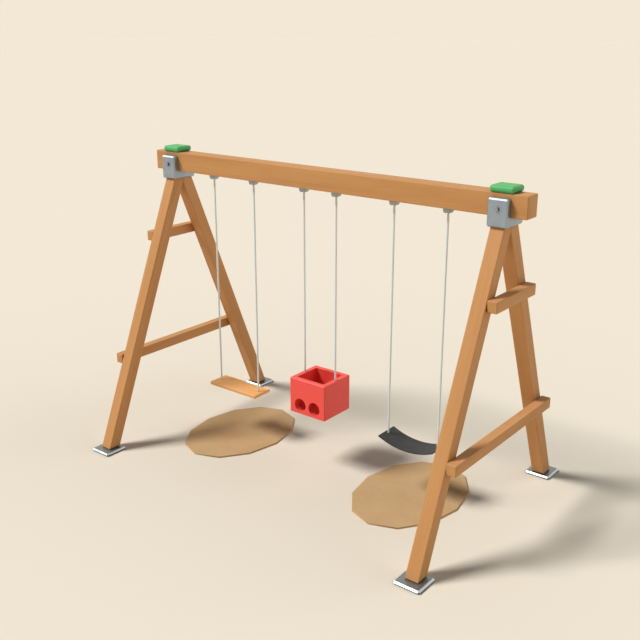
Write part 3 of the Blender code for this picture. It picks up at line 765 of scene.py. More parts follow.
class Shape:
    """The solid forms that the pieces are made of, each as a new bmesh."""

    @staticmethod
    def block(low: Vector, high: Vector) -> Solid:
        """A box between two corners.

        Args:
            low: Its lowest corner.
            high: Its highest corner.

        Returns:
            The box.
        """
        bm = bmesh.new()
        matrix = Matrix.Translation((low + high) / 2) @ Matrix.Diagonal((*(high - low), 1.0))
        bmesh.ops.create_cube(bm, size=1.0, matrix=matrix)
        return bm

    @staticmethod
    def skin(bm: Solid, rings: Sequence[Sequence[bmesh.types.BMVert]]) -> None:
        """Spans faces between rings.

        Args:
            bm: What gets them.
            rings: The rings in order, of as many corners each.
        """
        for first, second in zip(rings, rings[1:]):
            for index in range(len(first)):
                following = (index + 1) % len(first)
                bm.faces.new((first[index], first[following], second[following], second[index]))

    @staticmethod
    def drawn(outline: Sequence[Pair], low: float, high: float, axis: Axis) -> Solid:
        """A flat outline drawn out between two places on an axis.

        Args:
            outline: Pairs (Y, Z) for X, (X, Z) for Y and (X, Y) for Z.
            low: Where it starts.
            high: Where it stops.
            axis: The axis.

        Returns:
            The prism.
        """
        bm = bmesh.new()
        rings = [[bm.verts.new(axis.point(pair, along)) for pair in outline] for along in (low, high)]
        for ring in rings:
            bm.faces.new(ring)
        Shape.skin(bm, rings)
        bmesh.ops.recalc_face_normals(bm, faces=bm.faces)
        return bm

    @staticmethod
    def lofted(rings: Sequence[Sequence[Point]]) -> Solid:
        """A closed skin over rings, with a fan at both ends.

        Args:
            rings: The rings in order, of as many points each.

        Returns:
            The skin.
        """
        bm = bmesh.new()
        made = [[bm.verts.new(place) for place in ring] for ring in rings]
        Shape.skin(bm, made)
        for ring in (made[0], made[-1]):
            middle = bm.verts.new(sum((vert.co for vert in ring), Vector()) / len(ring))
            for index in range(len(ring)):
                bm.faces.new((ring[index], ring[(index + 1) % len(ring)], middle))
        bmesh.ops.recalc_face_normals(bm, faces=bm.faces)
        return bm

    @staticmethod
    def turned(profile: Sequence[Pair], steps: int, axis: Axis = Axis.Z) -> Solid:
        """A profile turned round an axis.

        Args:
            profile: Pairs of radius and place on the axis, in order.
            steps: Sides.
            axis: The axis.

        Returns:
            The turned solid.
        """
        circle = [(math.cos(turn), math.sin(turn)) for turn in around(steps)]
        return Shape.lofted([
            [axis.point((radius * across, radius * up), along) for across, up in circle] for radius, along in profile
        ])

    @staticmethod
    def soften(bm: Solid, radius: float, segments: int = 4,
               keep: Callable[[Vector], bool] = lambda middle: True) -> Solid:
        """Rounds the edges between unlike faces.

        Args:
            bm: What is rounded.
            radius: How far the round reaches from each edge.
            segments: Steps in the round.
            keep: Says by an edge's middle point whether it is rounded.

        Returns:
            The same bmesh.
        """
        edges = [
            edge for edge in bm.edges
            if edge.calc_face_angle(0.0) > SOFT_FROM and keep(middle_of(*(vert.co for vert in edge.verts)))
        ]
        bmesh.ops.bevel(
            bm, geom=edges, offset=radius, offset_type="OFFSET", segments=segments, profile=0.5, affect="EDGES"
        )
        return bm

    @staticmethod
    def placed(bm: Solid, place: Place) -> Solid:
        """Moves a bmesh and returns it."""
        bmesh.ops.transform(bm, matrix=matrix_of(place), verts=bm.verts)
        return bm

    @staticmethod
    def worked(bm: Solid, cutters: Sequence[Solid] = (), additions: Sequence[Solid] = ()) -> Solid:
        """Joins solids onto another one and then cuts others out of it.

        Args:
            bm: The solid.
            cutters: What is cut out.
            additions: What is joined on first.

        Returns:
            The result as a new bmesh. All that went in is freed.
        """
        scratch = []
        for number, solid in enumerate((bm, *additions, *cutters)):
            mesh = bpy.data.meshes.new(f"scratch_{number}")
            bmesh.ops.recalc_face_normals(solid, faces=solid.faces)
            solid.to_mesh(mesh)
            solid.free()
            scratch.append(shown(mesh.name, mesh))
        for number, helper in enumerate(scratch[1:]):
            modifier = scratch[0].modifiers.new(helper.name, "BOOLEAN")
            modifier.operation = "UNION" if number < len(additions) else "DIFFERENCE"
            modifier.solver = "EXACT"
            modifier.object = helper
        evaluated = scratch[0].evaluated_get(bpy.context.evaluated_depsgraph_get())
        result = bmesh.new()
        result.from_mesh(evaluated.to_mesh())
        bmesh.ops.remove_doubles(result, verts=result.verts, dist=WELD)
        evaluated.to_mesh_clear()
        for helper in scratch:
            mesh = helper.data
            bpy.data.objects.remove(helper)
            bpy.data.meshes.remove(mesh)
        return result


class SubAssembly:
    """A part of the set, with its sizes as fields. Its pieces ride on one body unless they say another."""

    body: ClassVar[str] = "frame"

    def dress(self, name: str, shape: Solid, finish: Finish, slot: str, node: str, place: Place,
              rounding: float = 0.0, weighted: bool = True, body: str = "") -> bpy.types.Object:
        """Makes one piece that shows.

        Args:
            name: Its name.
            shape: Its shape, which is used up.
            finish: What it is made of.
            slot: The record's material slot. Not used.
            node: The CAD node that it stands for.
            place: Where its own axes are.
            rounding: Width of the small rounds on its edges.
            weighted: Whether its flat faces are shaded as flat.
            body: What it rides on, if not the sub-assembly's own.

        Returns:
            The object.
        """
        mesh = bpy.data.meshes.new(name)
        Shape.placed(shape, matrix_of(place).inverted()).to_mesh(mesh)
        shape.free()
        mesh.shade_smooth()
        mesh.materials.append(finish.material())
        obj = shown(name, mesh)
        obj.matrix_world = matrix_of(place)
        if rounding:
            rounds = obj.modifiers.new("small_rounds", "BEVEL")
            rounds.width, rounds.segments = rounding, 2
            rounds.limit_method, rounds.angle_limit = "ANGLE", ROUND_FROM
        elif weighted:
            mesh.set_sharp_from_angle(angle=SHARP_FROM)
        if weighted:
            faces = obj.modifiers.new("even_faces", "WEIGHTED_NORMAL")
            faces.weight, faces.thresh, faces.keep_sharp = 100, 0.0, True
        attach(obj, body or self.body)
        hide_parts(node)
        LOG.info("%s: %d faces, rides on %s", name, len(mesh.polygons), body or self.body)
        return obj


@dataclass
class TimberFrame(SubAssembly):
    """The beam, the four legs and the four cross braces."""

    leg_size: float = 0.097
    lean: float = 0.3896687
    beam_round: float = 0.008
    leg_round: float = 0.0065
    foot_round: float = 0.013
    brace_round: float = 0.007
    pith_reach: float = 0.055
    pith_wander: float = 0.018

    def squared(self, name: str, node: str, rounding: float, turn: float) -> bpy.types.Object:
        """A squared timber, the beam or a brace.

        Args:
            name: Its name.
            node: Its CAD node.
            rounding: Radius of its arrises.
            turn: How far its grain is turned from X.

        Returns:
            The timber.
        """
        low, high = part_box(node)
        shape = Shape.soften(Shape.block(low, high), rounding)
        place = Matrix.Translation(middle_of(low, high)) @ Matrix.Rotation(turn, 4, "Z")
        return self.dress(name, shape, FRAME_TIMBER, "wood", node, place)

    def leg_outline(self, node: str, end: End) -> list[Pair]:
        """A leg seen along the beam, as the CAD has it.

        Args:
            node: The leg's CAD node.
            end: The front or the rear one.

        Returns:
            Its corners as pairs of Y and Z.
        """
        low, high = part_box(node)
        inner, outer = sorted((abs(low.y), abs(high.y)))
        level = self.leg_size / math.cos(self.lean)
        slope = math.tan(self.lean)
        corners = [
            (outer - level, low.z),
            (outer, low.z),
            (outer - (high.z - low.z) * slope, high.z),
            (inner, high.z),
            (inner, low.z + (outer - level - inner) / slope),
        ]
        return [(end.value * y, z) for y, z in corners]

    def leg(self, side: Side, end: End) -> bpy.types.Object:
        """One leg, grain along its lean.

        Args:
            side: The A-frame.
            end: The front or the rear leg.

        Returns:
            The leg.
        """
        node = f"leg_{side.word}_{end.word}"
        low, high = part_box(node)
        shape = Shape.drawn(self.leg_outline(node, end), low.x, high.x, Axis.X)
        Shape.soften(shape, self.foot_round, 4, lambda point: point.z < low.z + HAIR)
        Shape.soften(shape, self.leg_round, 4, lambda point: point.z > low.z + self.foot_round + HAIR / 2)
        grain = Vector((0.0, -end.value * math.sin(self.lean), math.cos(self.lean)))
        place = Matrix.Translation(middle_of(low, high)) @ grain.to_track_quat("X", "Z").to_matrix().to_4x4()
        return self.dress(f"leg_timber_{side.word}_{end.word}", shape, FRAME_TIMBER, "wood", node, place)

    def build(self) -> None:
        """Builds all nine timbers and gives each its own place in the log."""
        timbers = [self.squared("beam_timber", "top_beam", self.beam_round, 0.0)]
        for side in Side:
            timbers += [self.leg(side, end) for end in End]
            for label in (f"{side.word}_{level.word}" for level in Level):
                name, node = f"brace_timber_{label}", f"brace_{label}"
                timbers.append(self.squared(name, node, self.brace_round, math.pi / 2))
        for number, timber in enumerate(timbers):
            turn = 2.4 * number + 0.7
            reach = self.pith_reach + self.pith_wander * math.sin(3.1 * number)
            timber["pith"] = (7.3 * number, reach * math.cos(turn), reach * math.sin(turn))


@dataclass
class HeadBracket(SubAssembly):
    """The metal saddle that holds the beam on one A-frame, with its flanged bolt."""

    side: Side
    timber: TimberFrame
    chamfer: float = 0.009
    rounding: float = 0.0008
    gap: float = 0.0003
    leg_room: float = 0.0005
    inner_half: float = 0.02
    flange_radius: float = 0.0145
    flange_thick: float = 0.0015
    hex_radius: float = 0.0135
    hex_high: float = 0.0105
    hex_crown: tuple[Pair, ...] = ((0.0, 0.93), (0.0004, 1.0), (0.0007, 1.02), (0.0011, 1.05), (0.0016, 1.09),
                                   (0.0023, 1.16))
    hex_reach: float = 1.16
    shank: float = 0.0058
    tip: float = 0.004
    tip_high: float = 0.002
    steps: int = 48

    def casting(self) -> None:
        """The saddle: two cheeks and a base that the leg tops go into."""
        node = f"head_bracket_{self.side.word}"
        low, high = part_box(node)
        beam_low, beam_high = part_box("top_beam")
        channel = beam_high.y + self.gap
        floor_z = beam_low.z - self.gap
        outline = [
            (low.y, low.z), (high.y, low.z), (high.y, high.z), (channel, high.z), (channel, floor_z),
            (-channel, floor_z), (-channel, high.z), (low.y, high.z),
        ]
        shape = Shape.soften(
            Shape.drawn(outline, low.x, high.x, Axis.X), self.chamfer, 1,
            lambda middle: abs(middle.y) > channel + HAIR or middle.z < floor_z - HAIR,
        )
        pockets = []
        for end in End:
            leg = f"leg_{self.side.word}_{end.word}"
            room_low, room_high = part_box(leg)
            across = [
                (y + end.value * self.leg_room * (1 if abs(y) > self.inner_half else -1), z)
                for y, z in self.timber.leg_outline(leg, end)
            ]
            pockets.append(Shape.drawn(across, room_low.x - self.leg_room, room_high.x + self.leg_room, Axis.X))
        self.dress(f"bracket_casting_{self.side.word}", Shape.worked(shape, pockets), CAST_BRACKET, "bracket",
                   node, middle_of(low, high), self.rounding)

    def bolt(self) -> None:
        """The bolt, a hexagon with a crowned end on a flange."""
        node = f"bracket_bolt_{self.side.word}"
        low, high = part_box(node)
        centre = middle_of(low, high)
        inner = self.hex_radius * math.cos(math.pi / 6)
        rings = []
        for depth, reach in (*self.hex_crown, (self.hex_high, self.hex_reach)):
            ring = []
            for turn in around(self.steps):
                wedge = (turn + math.pi / 6) % (math.pi / 3) - math.pi / 6
                radius = min(inner / math.cos(wedge), inner * reach)
                ring.append((radius * math.cos(turn), low.y + depth, radius * math.sin(turn)))
            rings.append(ring)
        seat = low.y + self.hex_high + self.flange_thick
        flange = [
            (self.flange_radius * 0.86, seat - self.flange_thick),
            (self.flange_radius * 0.97, seat - self.flange_thick * 0.6),
            (self.flange_radius, seat - self.flange_thick * 0.3), (self.flange_radius, seat),
            (self.shank, seat), (self.shank, high.y - self.tip_high), (self.tip, high.y),
        ]
        head = Shape.placed(Shape.lofted(rings), (0.0, self.flange_thick * 0.2, 0.0))
        shape = Shape.worked(Shape.turned(flange, self.steps, Axis.Y), additions=[head])
        Shape.placed(shape, (centre.x, 0.0, centre.z))
        self.dress(f"bolt_flanged_{self.side.word}", shape, BOLT_STEEL, "steel", node, centre)

    def build(self) -> None:
        """Builds the bracket and its bolt."""
        self.casting()
        self.bolt()


@dataclass
class FootPlates(SubAssembly):
    """The four plates that the legs stand on, each with wide chamfers."""

    thick: float = 0.022
    chamfer: float = 0.0104
    arris: float = 0.0009

    def build(self) -> None:
        """Builds the plates."""
        for label in (f"{side.word}_{end.word}" for side in Side for end in End):
            low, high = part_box(f"foot_plate_{label}")
            top = Vector((high.x, high.y, self.thick))
            shape = Shape.soften(Shape.soften(Shape.block(low, top), self.chamfer, 1), self.arris, 2)
            self.dress(f"plate_{label}", shape, ROLLED_PLATE, "plate", f"foot_plate_{label}", middle_of(low, top))


@dataclass
class BeamCaps(SubAssembly):
    """The green pads on the beam above the brackets."""

    gap: float = 0.0003
    rounding: float = 0.0175

    def build(self) -> None:
        """Builds both pads."""
        for side in Side:
            node = f"beam_cap_{side.word}"
            low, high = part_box(node)
            bottom = Vector((low.x, low.y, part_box("top_beam")[1].z + self.gap))
            shape = Shape.soften(Shape.block(bottom, high), self.rounding, 7)
            self.dress(f"cap_pad_{side.word}", shape, CAP_PLASTIC, "cap", node, middle_of(bottom, high))


@dataclass
class Hangers(SubAssembly):
    """The small blocks under the beam that the rope eyes turn in, with their pins."""

    gap: float = 0.0003
    rounding: float = 0.0175
    arris: float = 0.0007
    pin_z: float = 2.0837
    pin_radius: float = 0.0045
    pin_end: tuple[Pair, ...] = ((0.0009, 0.0), (0.0002, 0.0004), (0.0, 0.0012))
    pin_steps: int = 24
    play: float = 0.0003
    bore_half: float = 0.04
    eye_room: float = 0.0138
    eye_half: float = 0.0095
    rope_room: float = 0.008
    rope_sweep: float = 0.1
    swing_limit: float = math.radians(50)

    def sweep(self, x: float) -> Solid:
        """The space that a rope sweeps below its pin.

        Args:
            x: The hanger's middle.

        Returns:
            The space as a solid.
        """
        cosine, sine = math.cos(self.swing_limit), math.sin(self.swing_limit)
        near = Vector((cosine, sine)) * self.rope_room
        far = near + Vector((sine, -cosine)) * self.rope_sweep
        corners = ((-1, near), (-1, far), (1, far), (1, near))
        outline = [(sign * point.x, self.pin_z + point.y) for sign, point in corners]
        return Shape.drawn(outline, x - self.rope_room, x + self.rope_room, Axis.X)

    def block(self, label: str) -> None:
        """One block, cut out for its rope eye, its rope and its pin.

        Args:
            label: The swing and side.
        """
        low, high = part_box(f"hanger_{label}")
        top = Vector((high.x, high.y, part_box("top_beam")[0].z - self.gap))
        middle = middle_of(low, top)
        shape = Shape.soften(Shape.block(low, top), self.rounding, 6, lambda point: point.z < middle.z + HAIR)
        rooms = (
            (self.eye_room, self.eye_half, HOLE_STEPS),
            (self.pin_radius + self.play, self.bore_half, self.pin_steps),
        )
        eye, bore = (
            Shape.placed(Shape.turned([(radius, -half), (radius, half)], steps, Axis.X), (middle.x, 0.0, self.pin_z))
            for radius, half, steps in rooms
        )
        shape = Shape.worked(shape, [eye, self.sweep(middle.x), bore])
        self.dress(f"hanger_block_{label}", shape, CAST_HANGER, "hanger", f"hanger_{label}", middle, self.arris)

    def pin(self, label: str) -> None:
        """One pin with chamfered ends.

        Args:
            label: The swing and side.
        """
        low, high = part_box(f"hanger_pin_{label}")
        half = (high.x - low.x) / 2
        profile = [(self.pin_radius - less, -half + along) for less, along in self.pin_end]
        profile += [(self.pin_radius - less, half - along) for less, along in reversed(self.pin_end)]
        centre = middle_of(low, high)
        shape = Shape.placed(Shape.turned(profile, self.pin_steps, Axis.X), centre)
        self.dress(f"pin_{label}", shape, PLATED_STEEL, "steel", f"hanger_pin_{label}", centre)

    def build(self) -> None:
        """Builds six hangers and six pins."""
        for label in (f"{swing.word}_{side.word}" for swing in Swing for side in Side):
            self.block(label)
            self.pin(label)


def rope_x(label: str) -> float:
    """Where a rope is along the beam, by its swing and side."""
    low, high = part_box(f"rope_{label}")
    return (low.x + high.x) / 2


@dataclass
class SwingRope(SubAssembly):
    """One rope of a swing: its eye on the pin, the laid rope, its whipping and the knot under the seat."""

    swing: Swing
    side: Side
    seat_z: float
    through: float
    lean: float = 0.0
    radius: float = 0.0077
    strand_radius: float = 0.0043
    strand_reach: float = 0.0034
    lay: float = 0.052
    step: float = 0.0034
    points: int = 24
    pin_z: float = 2.0837
    bore: float = 0.0048
    bore_half: float = 0.02
    eye_radius: float = 0.013
    eye_half: float = 0.008
    eye_groove: tuple[Pair, ...] = ((0.93, 1.0), (1.0, 0.86), (1.0, 0.62), (0.84, 0.3), (0.80, 0.0))
    whip_drop: float = 0.050
    whip_turns: int = 11
    whip_steps: int = 20
    whip_pitch: float = 0.0019
    whip_round: tuple[Pair, ...] = ((0.1, 0.0001), (0.3, 0.0007), (0.5, 0.0009), (0.7, 0.0007), (0.9, 0.0001))
    knot_radius: float = 0.0125
    knot_high: float = 0.018
    knot_swell: tuple[Pair, ...] = ((0.0, 0.62), (0.05, 0.82), (0.14, 0.93), (0.28, 0.99), (0.42, 1.0),
                                    (0.56, 1.0), (0.70, 0.96), (0.82, 0.86), (0.91, 0.73), (1.0, 0.6))
    knot_wound: float = 150.0
    in_hole: float = 0.0080
    under: float = 0.0004
    tail: float = 0.005
    stops: int = 20

    @property
    def label(self) -> str:
        """The swing and side as they stand in piece names."""
        return f"{self.swing.word}_{self.side.word}"

    @property
    def body(self) -> str:
        """What all but the knot rides on."""
        return f"{self.swing.word}_ropes"

    def ring(self, scale: float, turn: float, height: float) -> list[Point]:
        """One ring of three rounded strands.

        Args:
            scale: Its radius as a share of the rope's.
            turn: How far the strands have wound round.
            height: Its height along the rope.

        Returns:
            Its points.
        """
        points = []
        for angle in around(self.points):
            off = (angle + math.pi / 3) % (2 * math.pi / 3) - math.pi / 3
            across = self.strand_reach * math.sin(off)
            reach = self.strand_reach * math.cos(off) + math.sqrt(self.strand_radius ** 2 - across ** 2)
            reach *= scale
            points.append((reach * math.cos(angle + turn), reach * math.sin(angle + turn), height))
        return points

    def laid(self, top: float, bottom: float) -> list[list[Point]]:
        """The rings of the rope between two heights, drawn in to a round end at both.

        Args:
            top: Where it starts.
            bottom: Where it ends.

        Returns:
            Its rings.
        """
        count = max(2, round((top - bottom) / self.step))
        rings = []
        for index in range(count + 1):
            height = top + (bottom - top) * index / count
            ends = min(index, count - index)
            scale = (0.55, 0.86)[ends] if ends < 2 else 1.0
            rings.append(self.ring(scale, 2 * math.pi * height / self.lay, height))
        return rings

    def eye(self, x: float) -> bpy.types.Object:
        """The grooved thimble that turns on the pin.

        Args:
            x: The rope's place along the beam.

        Returns:
            The thimble.
        """
        half = [(self.eye_radius * reach, self.eye_half * along) for reach, along in self.eye_groove]
        profile = [(self.bore, -self.eye_half), *((reach, -along) for reach, along in half)]
        profile += [*reversed(half[:-1]), (self.bore, self.eye_half)]
        hole = Shape.turned([(self.bore, -self.bore_half), (self.bore, self.bore_half)], HOLE_STEPS, Axis.X)
        place = (x, 0.0, self.pin_z)
        shape = Shape.placed(Shape.worked(Shape.turned(profile, HOLE_STEPS, Axis.X), [hole]), place)
        return self.dress(f"rope_eye_{self.label}", shape, PLATED_STEEL, "steel", f"rope_{self.label}", place)

    def whipping(self, x: float) -> bpy.types.Object:
        """Twine wound round the rope below its hanger.

        Args:
            x: The rope's place along the beam.

        Returns:
            The twine.
        """
        top = self.pin_z - self.whip_drop
        profile = [(self.radius * 0.8, top)]
        for base in (top - turn * self.whip_pitch for turn in range(self.whip_turns)):
            profile += [(self.radius + reach, base - share * self.whip_pitch) for share, reach in self.whip_round]
        profile.append((self.radius * 0.8, top - self.whip_turns * self.whip_pitch))
        shape = Shape.placed(Shape.turned(profile, self.whip_steps), (x, 0.0, 0.0))
        return self.dress(f"whipping_{self.label}", shape, TWINE, "rope", f"rope_{self.label}", (x, 0.0, top),
                          weighted=False)

    def knot(self, x: float) -> None:
        """The stopper knot: the strands wound back round the rope, and the short end below it.

        Args:
            x: The rope's place along the beam.
        """
        top = -self.in_hole
        shoulder = -self.through - self.under
        foot = shoulder - self.knot_high
        end = foot - self.tail
        stations = [(top, 0.55), (top - min(0.001, (top - shoulder) / 2), 0.9)]
        if shoulder < top - 0.004:
            stations.append((shoulder + 0.001, 0.97))
        swell = self.knot_radius / self.radius
        stations += [(shoulder - share * self.knot_high, size * swell) for share, size in self.knot_swell]
        stations += [(foot - 0.002, 0.97), (end + 0.0012, 0.97), (end, 0.88)]
        rings, turn = [], 0.0
        for (height, scale), following in zip(stations, [*stations[1:], stations[-1]]):
            rings.append(self.ring(scale, turn, height))
            wound = self.knot_wound if scale > 1.1 else 2 * math.pi / self.lay
            turn -= (height - following[0]) * wound
        tilt = Matrix.Rotation(-self.side.value * self.lean, 4, "Y")
        place = Matrix.Translation((x, 0.0, self.seat_z)) @ tilt
        shape = Shape.placed(Shape.lofted(rings), place)
        self.dress(f"knot_{self.label}", shape, SWING_ROPE, "rope", f"rope_tail_{self.label}", place,
                   weighted=False, body=self.swing.word)

    def build(self) -> None:
        x = rope_x(self.label)
        top, bottom = self.pin_z - self.eye_radius * 0.7, self.seat_z - self.radius * 0.7
        shape = Shape.placed(Shape.lofted(self.laid(top, bottom)), (x, 0.0, 0.0))
        rope = self.dress(f"laid_rope_{self.label}", shape, SWING_ROPE, "rope", f"rope_{self.label}",
                          (x, 0.0, 0.0), weighted=False)
        pieces = [self.eye(x), self.whipping(x)]
        self.knot(x)


def rope_hole(radius: float, low: float, high: float) -> Solid:
    """What is cut out of a seat for a rope, between two heights."""
    return Shape.turned([(radius, low), (radius, high)], HOLE_STEPS)


@dataclass
class BoardSeat(SubAssembly):
    """The flat timber seat."""

    thick: float = 0.028
    rounding: float = 0.009
    arris: float = 0.0012
    hole_radius: float = 0.0085
    pith: Point = (3.7, 0.012, 0.16)
    body: ClassVar[str] = "board"

    def build(self) -> None:
        """Builds the plank with its two rope holes."""
        low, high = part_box("board_seat")
        shape = Shape.soften(Shape.block(low, high), self.rounding, 5)
        holes = []
        for side in Side:
            hole = rope_hole(self.hole_radius, low.z - OVER, high.z + OVER)
            holes.append(Shape.placed(hole, (rope_x(f"board_{side.word}"), 0.0, 0.0)))
        plank = self.dress("board_plank", Shape.worked(shape, holes), BOARD_TIMBER, "board", "board_seat",
                           middle_of(low, high), self.arris)
        plank["pith"] = self.pith


@dataclass
class BucketSeat(SubAssembly):
    """The red box seat, double walled, with two leg holes in front."""

    wall: float = 0.040
    skin: float = 0.0055
    deck: float = 0.012
    floor: float = 0.018
    rounding: float = 0.008
    leg_radius: float = 0.0515
    leg_spacing: float = 0.131
    leg_z: float = 0.500
    hole_radius: float = 0.0085
    hole_deep: float = 0.03
    lip: float = 0.0032
    hole_lip: float = 0.0014
    corner: float = 0.009
    round_steps: int = 4
    leg_steps: int = 56
    body: ClassVar[str] = "bucket"

    def quarter(self, radius: float) -> list[Pair]:
        """A quarter round from a face into a cut: how far it stands out of the wall, and how deep it is."""
        turns = [math.pi / 2 * step / self.round_steps for step in range(self.round_steps + 1)]
        return [(radius * (1 - math.sin(turn)), radius * (1 - math.cos(turn))) for turn in turns]

    def ring(self, half: Pair, out: float, height: float) -> list[Point]:
        """A rectangle with round corners.

        Args:
            half: Half its length and depth.
            out: How far it stands out beyond them.
            height: Its height.

        Returns:
            Its points.
        """
        points = []
        half_x, half_y, corner = half[0] + out, half[1] + out, self.corner + out
        for quarter, (x, y) in enumerate(((1, 1), (-1, 1), (-1, -1), (1, -1))):
            for step in range(self.round_steps + 1):
                turn = math.pi / 2 * (quarter + step / self.round_steps)
                points.append((
                    x * (half_x - corner) + corner * math.cos(turn),
                    y * (half_y - corner) + corner * math.sin(turn),
                    height,
                ))
        return points

    def inside(self, half: Pair, bottom: float, top: float) -> Solid:
        """The space that the child sits in, round at its floor and flared at the rim.

        Args:
            half: Half its length and depth.
            bottom: Height of the floor.
            top: Height of the rim.

        Returns:
            The space as a solid that stands a little above the rim.
        """
        rings = [self.ring(half, -out, bottom + deep) for out, deep in self.quarter(self.rounding)]
        rings += [self.ring(half, out, top - deep) for out, deep in reversed(self.quarter(self.lip))]
        return Shape.lofted([*rings, self.ring(half, self.lip, top + self.lip)])

    def leg_hole(self) -> Solid:
        """What is cut out for a leg.

        Returns:
            The hole as a solid, with a round lip on both faces of the wall.
        """
        half = self.wall / 2
        lips = [(self.leg_radius + out, half - deep) for out, deep in self.quarter(self.hole_lip)]
        lips.insert(0, (self.leg_radius + self.hole_lip, self.wall))
        profile = [(radius, -along) for radius, along in lips] + lips[::-1]
        return Shape.turned(profile, self.leg_steps, Axis.Y)

    def build(self) -> None:
        """Builds the shell, hollow below between its walls."""
        low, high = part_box("bucket_seat")
        wide, deep = high.x, high.y
        outer = Shape.soften(Shape.block(low, high), self.rounding, 5)
        in_x, in_y = wide - self.wall, deep - self.wall
        hollow = Shape.block(
            Vector((self.skin - wide, self.skin - deep, low.z - 2 * OVER)),
            Vector((wide - self.skin, deep - self.skin, high.z - self.deck)),
        )
        basin = Shape.block(
            Vector((-in_x - self.skin, -in_y - self.skin, low.z + self.floor - self.deck)),
            Vector((in_x + self.skin, in_y + self.skin, high.z - self.deck / 2)),
        )
        wall_y = -(deep - self.wall / 2)
        tube_half = (self.wall - self.skin) / 2
        tube_radius = self.leg_radius + self.skin
        tubes, legs, ropes = [], [], []
        for side in Side:
            centre = (side.value * self.leg_spacing / 2, wall_y, self.leg_z)
            tube = Shape.turned([(tube_radius, -tube_half), (tube_radius, tube_half)], self.leg_steps, Axis.Y)
            tubes.append(Shape.placed(tube, centre))
            legs.append(Shape.placed(self.leg_hole(), centre))
            rope = rope_hole(self.hole_radius, high.z - self.hole_deep, high.z + OVER)
            ropes.append(Shape.placed(rope, (side.value * (wide - self.wall / 2), 0.0, 0.0)))
        cavity = self.inside((in_x, in_y), low.z + self.floor, high.z)
        shell = Shape.worked(Shape.worked(outer, [hollow]), [cavity, *legs, *ropes], [basin, *tubes])
        self.dress("bucket_shell", shell, BUCKET_PLASTIC, "bucket", "bucket_seat",
                   (0.0, 0.0, (low.z + high.z) / 2))


@dataclass
class BeltSeat(SubAssembly):
    """The bent rubber strip."""

    centre_x: float = 0.828
    length: float = 0.447
    thick: float = 0.008
    sag: float = 0.051
    top: float = 0.433
    rope_half: float = 0.204
    rope_z: float = 0.4241
    hole_radius: float = 0.0085
    hole_half: float = 0.03
    arris: float = 0.0012
    steps: int = 36
    body: ClassVar[str] = "belt"

    @property
    def bend(self) -> float:
        """Radius of the upper face."""
        half = self.length / 2
        return (half * half + self.sag * self.sag) / (2 * self.sag)

    @property
    def rope_lean(self) -> float:
        """How far the strip leans where a rope goes through it."""
        return math.asin(self.rope_half / self.bend)

    def build(self) -> None:
        """Builds the strip with its two rope holes."""
        low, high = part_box("belt_seat")
        centre_z = self.top - self.sag + self.bend
        limit = math.asin(self.length / 2 / self.bend)
        outline = []
        for radius, direction in ((self.bend, 1), (self.bend + self.thick, -1)):
            for step in range(self.steps + 1):
                turn = direction * limit * (2 * step / self.steps - 1)
                outline.append((self.centre_x + radius * math.sin(turn), centre_z - radius * math.cos(turn)))
        holes = []
        for side in Side:
            height = centre_z - math.sqrt(self.bend ** 2 - self.rope_half ** 2)
            place = Matrix.Translation((self.centre_x + side.value * self.rope_half, 0.0, height))
            place @= Matrix.Rotation(-side.value * self.rope_lean, 4, "Y")
            holes.append(Shape.placed(rope_hole(self.hole_radius, -self.hole_half, self.hole_half), place))
        shape = Shape.worked(Shape.drawn(outline, low.y, high.y, Axis.Y), holes)
        self.dress("belt_strip", shape, BELT_RUBBER, "belt", "belt_seat", (self.centre_x, 0.0, self.top),
                   self.arris)


@dataclass
class LandingMats(SubAssembly):
    """The two loose mats on the ground."""

    sides: int = 12
    bevel: float = 0.003

    def build(self) -> None:
        """Builds both mats."""
        for name in (Swing.BOARD.word, Swing.BELT.word):
            low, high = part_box(f"landing_mat_{name}")
            centre = middle_of(low, high)
            half_x, half_y = (high.x - low.x) / 2, (high.y - low.y) / 2
            outline = [(centre.x + half_x * math.cos(turn), half_y * math.sin(turn)) for turn in around(self.sides)]
            shape = Shape.drawn(outline, low.z, high.z, Axis.Z)
            Shape.soften(shape, self.bevel, 3, lambda point, top=high.z: point.z > top - HAIR)
            self.dress(f"mat_{name}", shape, MAT_GRANULES, "mat", f"landing_mat_{name}", centre)


@dataclass
class HiddenFixings:
    """Screws and dowels inside the joints. They keep their CAD shape and get a finish."""

    prefixes: tuple[str, ...] = ("brace_dowel_", "leg_screw_")

    def build(self) -> None:
        """Dresses them."""
        for name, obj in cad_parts.items():
            if name.startswith(self.prefixes):
                for slot in obj.material_slots:
                    slot.link = "OBJECT"
                    slot.material = PLATED_STEEL.material()
                LOG.info("%s: CAD shape, %s", name, PLATED_STEEL.name)


@dataclass(frozen=True)
class SoftLight:
    """A far soft lamp."""

    name: str
    comes_from: Point
    power: float
    angle: float

    def build(self) -> None:
        """Hangs the lamp."""
        lamp = bpy.data.lights.new(self.name, "SUN")
        lamp.energy, lamp.angle = self.power, self.angle
        obj = shown(self.name, lamp)
        obj.rotation_mode = "QUATERNION"
        obj.rotation_quaternion = Vector(self.comes_from).to_track_quat("Z", "Y")


